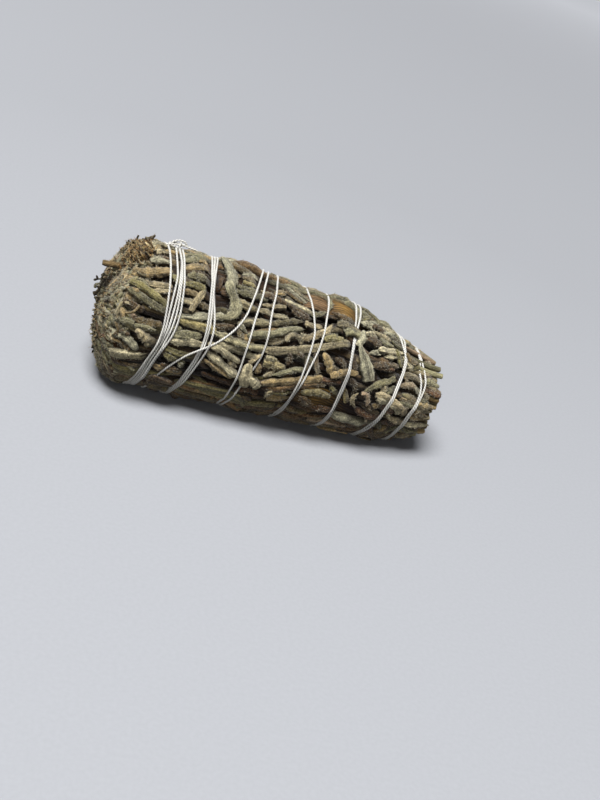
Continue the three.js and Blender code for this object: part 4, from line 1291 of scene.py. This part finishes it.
# Cotton thread of two plies. pitch is how far along a ply goes round once, in mm.
cotton = {
    "plies": 2,
    "lobe": 0.24,
    "pitch": 1.8,
    "step": 0.27,
    "around": 8,
    "tint": "#fbf9f2",
    "soiledTint": "#ddd6c3",
    "soiledShare": 0.35,
    "soiledPerMm": 0.12,  # patches of handling marks, about 8 mm long
    "fibreSize": 0.25,  # mm; cotton fibres are finer, and drawn as coarse as they need to show
    "fibreRelief": 0.1,
}


# A circle with one lobe for each ply, which turn steadily with the distance along.
def threadSkin(path, upward, endPush=0.1):
    travelled = np.concatenate([[0], np.cumsum(np.linalg.norm(np.diff(path, axis=0), axis=1))])
    count = int(travelled[-1] / cotton["step"]) + 2
    at = np.linspace(0, travelled[-1], count)
    line = np.stack([np.interp(at, travelled, path[:, i]) for i in range(3)], -1)[None]
    up = np.stack([np.interp(at, travelled, upward[:, i]) for i in range(3)], -1)[None]
    theta = (np.arange(cotton["around"]) / cotton["around"] * 2 * np.pi)[None, None]
    s = at[None, :, None]
    lobes = np.cos(cotton["plies"] * (theta - 2 * np.pi * s / cotton["pitch"]))
    uneven = 1 + cotton["lobe"] * lobes + 0.05 * np.sin(s * 1.7) + 0.03 * np.sin(s * 4.1 + theta)
    size = thread["radius"] * uneven
    points, quads, ends = skin(line, up, size * np.cos(theta), size * np.sin(theta), np.full((1, 2), endPush))
    along = np.stack([s + 0 * theta, (theta / 2 / np.pi - s / cotton["pitch"]) + 0 * s, lobes], -1)
    tint = np.broadcast_to(linear("#f1eee4"), along.shape)
    return {"points": points, "quads": quads, "ends": ends, "alongLeaf": overSkin(along),
            "leafColour": overSkin(tint), "ridge": overSkin(lobes[..., None])}


# The knot on top: a bar of two strands along the stick, an arch over it, and a turn round both.
# Points are mm from where the winding ends: along, across towards the front, and up.
knot = [
    [(-4.3, 0.5, 0.2), (-2.2, 0.3, 0.75), (0, 0, 0.95), (2.6, -0.2, 0.85), (5.5, -0.5, 0.3)],
    [(-3.5, -0.5, 0.5), (-1.5, -0.4, 1.05), (0.6, 0.3, 1.3), (2.6, 0.5, 1.0), (4.4, 0.3, 0.7)],
    [(-2.9, 0.2, 0.6), (-2.1, 0.1, 1.7), (-0.4, 0, 2.35), (1.3, -0.1, 2.05), (2.3, -0.2, 0.9)],
    [(-0.4, 1.0, 0.0), (-0.2, 1.1, 1.0), (0.0, 0.1, 1.95), (0.2, -1.0, 1.1), (0.4, -1.0, 0.1)],
]


# The winding, and the strands of the knot where it ends.
def threadParts():
    centre = placeOf(threadX, threadAngle, threadRho)
    out = placeOf(threadX, threadAngle, threadRho + 1) - centre
    centre[:, 2] = np.maximum(centre[:, 2], thread["radius"] * 1.3)
    made = [threadSkin(centre, out)]
    for points in knot:
        path = throughPoints([(a, -b, c) for a, b, c in points], 30) + centre[-1]
        made.append(threadSkin(path, np.broadcast_to([0.0, 0.3, 1.0], path.shape)))
    return made


allThread = threadParts()
windingSteps = np.diff(placeOf(threadX, threadAngle, threadRho), axis=0)
print("thread, %.2f m long" % (np.linalg.norm(windingSteps, axis=1).sum() * mm))


# Adds a node with its settings, the values of its sockets and the links into them.
def add(tree, kind, values={}, links={}, **settings):
    made = tree.nodes.new(kind)
    for key, value in settings.items():
        setattr(made, key, value)
    for key, value in values.items():
        made.inputs[key].default_value = value
    for key, source in links.items():
        tree.links.new(source, made.inputs[key])
    return made


# A new material, its nodes and its shader.
def newMaterial(name):
    material = bpy.data.materials.new(name)
    material.use_nodes = True
    tree = material.node_tree
    return material, tree, tree.nodes["Principled BSDF"]


# The same with an alpha of one, as a socket takes it.
def rgba(hexColour):
    return (*linear(hexColour), 1.0)


# Dried plant surfaces. grain is how many streaks there are per mm along and across, wrinkle the
# same for its creases; patchSize and feltSize are in mm; streak, patch and groove bound how far
# those change the colour, groove being painted shade in the grooves of the section and lighter
# ridges; felt is how much of the pale down shows; relief is in mm.
finishes = {
    # Lavender leaf dried and rolled up: matt, greyed by its down, wrinkled along its length.
    "driedLavenderLeaf": {"grain": (0.25, 3.0), "wrinkle": (0.6, 2.0), "patchSize": 4.0, "feltSize": 0.5,
                          "streak": (0.6, 1.3), "patch": (0.78, 1.18), "groove": (0.4, 1.15),
                          "speck": (0.6, 1.34), "down": "#dacfae", "felt": 0.3, "relief": 0.5,
                          "roughness": 0.94, "sheen": 0.22},
    # Lavender stem, cut and dried: fibrous, slightly smoother than the leaf.
    "driedLavenderStem": {"grain": (0.10, 3.2), "wrinkle": (0.3, 2.0), "patchSize": 6.0, "feltSize": 0.5,
                          "streak": (0.55, 1.25), "patch": (0.8, 1.15), "groove": (0.75, 1.05),
                          "speck": (0.8, 1.15), "down": "#c6b999", "felt": 0.15, "relief": 0.35,
                          "roughness": 0.8, "sheen": 0.05},
    # Husks of lavender flowers: dry, with painted shade between their ribs, speckled.
    "driedFlowerHusk": {"grain": (0.5, 3.0), "wrinkle": (1.0, 2.0), "patchSize": 1.5, "feltSize": 0.3,
                        "streak": (0.5, 1.3), "patch": (0.7, 1.3), "groove": (0.5, 1.1),
                        "speck": (0.6, 1.3), "down": "#b5ac94", "felt": 0.25, "relief": 0.25,
                        "roughness": 0.9, "sheen": 0.1},
    # Citronella grass blade, rolled dry: straw brown, with painted shade between its fine ribs and their
    # tops paler, a little shiny.
    "driedCitronellaBlade": {"grain": (0.07, 3.4), "wrinkle": (0.2, 1.0), "patchSize": 7.0, "feltSize": 0.5,
                             "streak": (0.5, 1.35), "patch": (0.72, 1.2), "groove": (0.45, 1.25),
                             "speck": (0.85, 1.1), "down": "#bb9a6c", "felt": 0.1, "relief": 0.25,
                             "roughness": 0.62, "sheen": 0.0},
}


# The leaf's own colour, times a shade for each pattern, with pale down over it and painted shade in
# the crevices and on the lower sides of the leaves, and the streaks, creases and felt as relief.
def driedFinish(name, finish):
    material, tree, shader = newMaterial(name)
    along = add(tree, "ShaderNodeAttribute", attribute_name="alongLeaf").outputs["Vector"]
    colour = add(tree, "ShaderNodeAttribute", attribute_name="leafColour").outputs["Color"]
    ridge = add(tree, "ShaderNodeAttribute", attribute_name="ridge").outputs["Fac"]
    sunk = add(tree, "ShaderNodeAttribute", attribute_name="sunk").outputs["Fac"]
    place = add(tree, "ShaderNodeTexCoord").outputs["Object"]
    grains = []
    for lengthways, sideways in (finish["grain"], finish["wrinkle"]):
        grain = add(tree, "ShaderNodeMapping", {"Scale": (lengthways, sideways, sideways)}, {"Vector": along})
        grains.append(add(tree, "ShaderNodeTexNoise", {"Scale": 1.0, "Detail": 4.0, "Roughness": 0.65},
                          {"Vector": grain.outputs[0]}).outputs["Fac"])
    streak, wrinkle = grains
    patch = add(tree, "ShaderNodeTexNoise", {"Scale": 1 / (finish["patchSize"] * mm), "Detail": 3.0},
                {"Vector": place}).outputs["Fac"]
    felt = add(tree, "ShaderNodeTexNoise", {"Scale": 1 / (finish["feltSize"] * mm), "Detail": 3.0,
                                            "Roughness": 0.7}, {"Vector": place}).outputs["Fac"]
    shade = None
    patterns = (
        (streak, 0.34, 0.66, finish["streak"]),
        (wrinkle, 0.36, 0.62, (0.6, 1.2)),
        (patch, 0.32, 0.68, finish["patch"]),
        (felt, 0.36, 0.64, finish["speck"]),
        # The ridge's pattern is painted shade in the grooves, lighter on the ridges.
        (ridge, -0.3, 0.12, finish["groove"]),
    )
    for source, low, high, bounds in patterns:
        change = add(tree, "ShaderNodeMapRange", {"From Min": low, "From Max": high, "To Min": bounds[0],
                                                  "To Max": bounds[1]}, {"Value": source}).outputs[0]
        if shade is not None:
            change = add(tree, "ShaderNodeMath", {}, {0: shade, 1: change}, operation="MULTIPLY").outputs[0]
        shade = change
    shaded = add(tree, "ShaderNodeVectorMath", {}, {0: colour, "Scale": shade}, operation="SCALE")
    downShare = add(tree, "ShaderNodeMapRange", {"From Min": 0.48, "From Max": 0.72, "To Min": 0.0,
                                                 "To Max": finish["felt"]}, {"Value": felt})
    downy = add(tree, "ShaderNodeMix", {7: rgba(finish["down"])},
                {0: downShare.outputs[0], 6: shaded.outputs[0]}, data_type="RGBA")
    # Painted shade: the dark brown tint multiplied in by the sunk attribute.
    withPaintedShade = add(tree, "ShaderNodeMix", {7: rgba(paintedShade["tint"])}, {0: sunk, 6: downy.outputs[2]},
                data_type="RGBA", blend_type="MULTIPLY")
    fine = add(tree, "ShaderNodeMath", {1: 0.4}, {0: felt}, operation="MULTIPLY")
    creased = add(tree, "ShaderNodeMath", {}, {0: wrinkle, 1: fine.outputs[0]}, operation="ADD")
    relief = add(tree, "ShaderNodeMath", {}, {0: streak, 1: creased.outputs[0]}, operation="ADD")
    bump = add(tree, "ShaderNodeBump", {"Strength": 1.0, "Distance": finish["relief"] * mm},
               {"Height": relief.outputs[0]})
    tree.links.new(withPaintedShade.outputs[2], shader.inputs["Base Color"])
    tree.links.new(bump.outputs[0], shader.inputs["Normal"])
    shader.inputs["Roughness"].default_value = finish["roughness"]
    shader.inputs["Sheen Weight"].default_value = finish["sheen"]
    shader.inputs["Sheen Roughness"].default_value = 0.5
    shader.inputs["Specular IOR Level"].default_value = 0.25
    return material


# Cotton, spun and plied: matt off-white, with painted shade between the plies, and a faint fuzz.
def cottonFinish():
    material, tree, shader = newMaterial("pliedCottonThread")
    lobes = add(tree, "ShaderNodeAttribute", attribute_name="ridge").outputs["Fac"]
    along = add(tree, "ShaderNodeAttribute", attribute_name="alongLeaf").outputs["Vector"]
    place = add(tree, "ShaderNodeTexCoord").outputs["Object"]
    fibre = add(tree, "ShaderNodeTexNoise", {"Scale": 1 / (cotton["fibreSize"] * mm), "Detail": 3.0},
                {"Vector": place})
    soiled = add(tree, "ShaderNodeTexNoise", {"Scale": cotton["soiledPerMm"], "Detail": 2.0},
                 {"Vector": along})
    # Painted shade between the plies.
    between = add(tree, "ShaderNodeMapRange", {"From Min": -0.9, "From Max": 0.5, "To Min": 0.4,
                                               "To Max": 1.0}, {"Value": lobes})
    grime = add(tree, "ShaderNodeMapRange", {"From Min": 0.4, "From Max": 0.75, "To Min": 0.0,
                                             "To Max": cotton["soiledShare"]},
                {"Value": soiled.outputs["Fac"]})
    tint = add(tree, "ShaderNodeMix", {6: rgba(cotton["tint"]), 7: rgba(cotton["soiledTint"])},
               {0: grime.outputs[0]}, data_type="RGBA")
    fuzz = add(tree, "ShaderNodeMapRange", {"From Min": 0.3, "From Max": 0.7, "To Min": 0.86, "To Max": 1.05},
               {"Value": fibre.outputs["Fac"]})
    both = add(tree, "ShaderNodeMath", {}, {0: between.outputs[0], 1: fuzz.outputs[0]}, operation="MULTIPLY")
    shaded = add(tree, "ShaderNodeVectorMath", {}, {0: tint.outputs[2], "Scale": both.outputs[0]},
                 operation="SCALE")
    bump = add(tree, "ShaderNodeBump", {"Strength": 0.6, "Distance": cotton["fibreRelief"] * mm},
               {"Height": fibre.outputs["Fac"]})
    tree.links.new(shaded.outputs[0], shader.inputs["Base Color"])
    tree.links.new(bump.outputs[0], shader.inputs["Normal"])
    shader.inputs["Roughness"].default_value = 0.92
    shader.inputs["Sheen Weight"].default_value = 0.2
    shader.inputs["Specular IOR Level"].default_value = 0.2
    return material


plantMaterials = [driedFinish(name, finish) for name, finish in finishes.items()]
leafFinish, stemFinish, huskFinish, bladeFinish = range(4)

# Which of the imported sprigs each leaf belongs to: the nearest one across the bundle. A sprig that
# would carry too many faces counts as further off, by a little more each round.
sharing = {"mostFaces": 130000, "further": 0.5, "rounds": 90, "middleAt": 40.0, "outerFrom": 0.72}
sprigNames = sorted(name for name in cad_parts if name.startswith("lavender_sprig"))
sprigBoxes = [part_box(name) for name in sprigNames]
sprigAcross = np.array([((low.y + high.y) / 2 / mm, (low.z + high.z) / 2 / mm) for low, high in sprigBoxes])
sprigOut = np.hypot(sprigAcross[:, 0], sprigAcross[:, 1] - bundleMiddle(sharing["middleAt"]))
outerSprigs = np.flatnonzero(sprigOut > sharing["outerFrom"] * stick["headRadius"])
everySprig = np.arange(len(sprigNames))


# How far each leaf's middle is from each sprig that may carry it, across the bundle's full width.
def awayFromSprigs(points, candidates):
    x, angle, rho = whereIs(points.mean(1))
    share = rho / bundleRadius(x) * stick["headRadius"]
    a = np.radians(angle)
    place = np.stack([-np.sin(a) * share, bundleMiddle(sharing["middleAt"]) - np.cos(a) * share], -1)
    away = np.full((len(points), len(sprigNames)), float(outOfReach))
    away[:, candidates] = np.linalg.norm(place[:, None] - sprigAcross[candidates][None], axis=-1)
    return away


# The sprig that carries each leaf of each skin.
def ownersOf(dressing):
    away = [awayFromSprigs(made["points"], candidates) for made, candidates, finish in dressing]
    faces = [2 * len(made["quads"][0]) + len(made["ends"][0]) for made, candidates, finish in dressing]
    further = np.zeros(len(sprigNames))
    for _ in range(sharing["rounds"]):
        owners = [(each + further).argmin(1) for each in away]
        carried = sum(count * np.bincount(owner, minlength=len(sprigNames))
                      for count, owner in zip(faces, owners))
        further += sharing["further"] * np.maximum(carried / sharing["mostFaces"] - 1, 0)
    print("most faces on one sprig:", int(carried.max()))
    return owners


dressing = [(made, outerSprigs, leafFinish) for batch, made in batches if batch]
dressing += [(made, everySprig, leafFinish) for made in headLeaves()]
for (made, *_), wanted in zip(dressing[:3], fibres["wanted"]):
    dressing.append((downOn(made, wanted), outerSprigs, leafFinish))
for made, *_ in dressing[5:8]:
    dressing.append((downOn(made, fibres["head"], 1.2), everySprig, leafFinish))
husks = flowerHusks()
dressing.append((husks, everySprig, huskFinish))
dressing.append((downOn(husks, fibres["tuft"], 1.5, fibres["tuftTint"]), everySprig, leafFinish))
print("fibres of down:", sum(len(made["points"]) for made, *_ in dressing if made["points"].shape[1] == 5))
dressing.append((stemSkin(), everySprig, stemFinish))
dressing.append((twigSkin(), outerSprigs, stemFinish))
for made, candidates, finish in dressing:
    made["points"] = settledOn(made["points"])
owners = ownersOf(dressing)

bareSprigs = []
for index, name in enumerate(sprigNames):
    parts = [(made, np.flatnonzero(owner == index), finish)
             for (made, candidates, finish), owner in zip(dressing, owners)]
    if not sum(len(chosen) for _, chosen, _ in parts):
        bareSprigs.append(name)
        continue
    piece = makePiece(name.replace("lavender_sprig", "dried_lavender"), parts, plantMaterials[:3])
    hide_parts(name)
print("sprigs dressed:", len(sprigNames) - len(bareSprigs), "bare:", bareSprigs)

for name, blade in blades.items():
    piece = makePiece(name.replace("citronella_blade", "dried_citronella"),
                      [(bladeSkin(blade), np.array([0]), 0)], [plantMaterials[bladeFinish]])
    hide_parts(name)

piece = makePiece("wound_cotton_thread", [(part, np.array([0]), 0) for part in allThread], [cottonFinish()])
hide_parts("binding_thread")
print("blades and thread made")

triangles = sum(len(p.vertices) - 2 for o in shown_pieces() if o.type == "MESH" and o.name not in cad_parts
                for p in o.data.polygons)
print("triangles:", triangles)

# The floor, and light from a wide soft lamp above and in front, with a weaker one low at the head.
stage = {
    "floorSize": 6.0,
    "floorColour": "#aeb0b5",
    "floorBounce": 0.25,  # the share of its colour that it throws back up
    "farGlow": 1.0,  # keeps the floor pale, to the eye alone, where the lamp's light runs out
    "glowFrom": 0.3,  # metres from the stick where that starts, and where it is full
    "glowFull": 2.6,
    "specklesPerMetre": 900.0,
    "worldColour": "#dadbdc",
    "worldLight": 0.06,
    "worldSeen": 0.78,
    "lamps": [  # towards the lamp, its size and distance in metres, watts
        ((-0.28, -0.28, 1.0), 1.3, 2.5, 95.0),
        ((-0.45, -1.0, 0.35), 1.0, 2.5, 8.0),
    ],
    "lampsAimAt": 0.02,  # metres above the floor
}


# 1 on the rays by which the eye sees a surface, straight or in gloss or glass, and 0 on the rest.
def toTheEye(tree):
    rays = add(tree, "ShaderNodeLightPath")
    seen = rays.outputs["Is Camera Ray"]
    for kind in ("Is Glossy Ray", "Is Transmission Ray"):
        either = add(tree, "ShaderNodeMath", {}, {0: seen, 1: rays.outputs[kind]}, operation="MAXIMUM")
        seen = either.outputs[0]
    return seen


# The floor is mat board painted a pale cool grey, with a faint speckle.
def floorPiece():
    half = stage["floorSize"] / 2
    corners = [(-half, -half, 0), (half, -half, 0), (half, half, 0), (-half, half, 0)]
    mesh = bpy.data.meshes.new("floor")
    mesh.from_pydata(corners, [], [(0, 1, 2, 3)])
    material, tree, shader = newMaterial("paintedMatBoard")
    seen = toTheEye(tree)
    place = add(tree, "ShaderNodeTexCoord").outputs["Object"]
    speckle = add(tree, "ShaderNodeTexNoise", {"Scale": stage["specklesPerMetre"], "Detail": 2.0},
                  {"Vector": place})
    tone = add(tree, "ShaderNodeMapRange", {"From Min": 0.3, "From Max": 0.7, "To Min": 0.98, "To Max": 1.02},
               {"Value": speckle.outputs["Fac"]})
    share = add(tree, "ShaderNodeMapRange", {"To Min": stage["floorBounce"], "To Max": 1.0}, {"Value": seen})
    both = add(tree, "ShaderNodeMath", {}, {0: tone.outputs[0], 1: share.outputs[0]}, operation="MULTIPLY")
    shaded = add(tree, "ShaderNodeVectorMath", {0: linear(stage["floorColour"])}, {"Scale": both.outputs[0]},
                 operation="SCALE")
    far = add(tree, "ShaderNodeVectorMath", {}, {0: place}, operation="LENGTH").outputs["Value"]
    fade = add(tree, "ShaderNodeMapRange", {"From Min": stage["glowFrom"], "From Max": stage["glowFull"],
                                            "To Max": stage["farGlow"]}, {"Value": far})
    glow = add(tree, "ShaderNodeMath", {}, {0: fade.outputs[0], 1: seen}, operation="MULTIPLY")
    tree.links.new(glow.outputs[0], shader.inputs["Emission Strength"])
    shader.inputs["Emission Color"].default_value = rgba(stage["floorColour"])
    tree.links.new(shaded.outputs[0], shader.inputs["Base Color"])
    shader.inputs["Roughness"].default_value = 0.9
    shader.inputs["Specular IOR Level"].default_value = 0.1
    mesh.materials.append(material)
    floor = bpy.data.objects.new("floor", mesh)
    bpy.context.scene.collection.objects.link(floor)
    floor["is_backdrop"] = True


# A pale room to the eye, which gives the object only a little light.
def paleWorld():
    world = bpy.data.worlds.new("paleRoom")
    world.use_nodes = True
    bpy.context.scene.world = world
    tree = world.node_tree
    tree.nodes.clear()
    strength = add(tree, "ShaderNodeMapRange", {"To Min": stage["worldLight"], "To Max": stage["worldSeen"]},
                   {"Value": toTheEye(tree)})
    back = add(tree, "ShaderNodeBackground", {"Color": rgba(stage["worldColour"])},
               {"Strength": strength.outputs[0]})
    add(tree, "ShaderNodeOutputWorld", {}, {"Surface": back.outputs[0]})


# A round soft lamp, turned to face the stick.
def softLamp(toLamp, size, away, power):
    data = bpy.data.lights.new("softbox", "AREA")
    data.shape = "DISK"
    data.size = size
    data.energy = power
    lamp = bpy.data.objects.new("softbox", data)
    toLamp = Vector(toLamp).normalized()
    lamp.location = toLamp * away + Vector((0, 0, stage["lampsAimAt"]))
    lamp.rotation_euler = toLamp.to_track_quat("Z", "Y").to_euler()
    bpy.context.scene.collection.objects.link(lamp)


floorPiece()
paleWorld()
for lamp in stage["lamps"]:
    softLamp(*lamp)

# The camera: angles in degrees round from the front towards the head, above the floor, and
# leaning over; distances in mm, but the nearest thing it sees in metres.
view = {"azimuth": 17.4, "elevation": 26.0, "roll": 21.0, "distance": 360.6, "target": (11.9, -9.45, 9.85),
        "lens": 50.0, "sensor": 36.0, "nearest": 0.01}


# It looks back along the line from its target, with its own up and right leaning by the roll.
def addCamera():
    azimuth, elevation, roll = (math.radians(view[key]) for key in ("azimuth", "elevation", "roll"))
    back = Vector((-math.sin(azimuth) * math.cos(elevation), -math.cos(azimuth) * math.cos(elevation),
                   math.sin(elevation)))
    level = Vector((math.cos(azimuth), -math.sin(azimuth), 0))
    upright = back.cross(level)
    right = level * math.cos(roll) + upright * math.sin(roll)
    up = upright * math.cos(roll) - level * math.sin(roll)
    data = bpy.data.cameras.new("camera")
    data.lens = view["lens"]
    data.sensor_width = view["sensor"]
    data.clip_start = view["nearest"]
    camera = bpy.data.objects.new("camera", data)
    turned = Matrix((right, up, back)).transposed().to_4x4()
    camera.matrix_world = Matrix.Translation((Vector(view["target"]) + back * view["distance"]) * mm) @ turned
    bpy.context.scene.collection.objects.link(camera)
    bpy.context.scene.camera = camera


addCamera()
bpy.context.scene.view_settings.view_transform = "Standard"
print("stage, lamps and camera set")
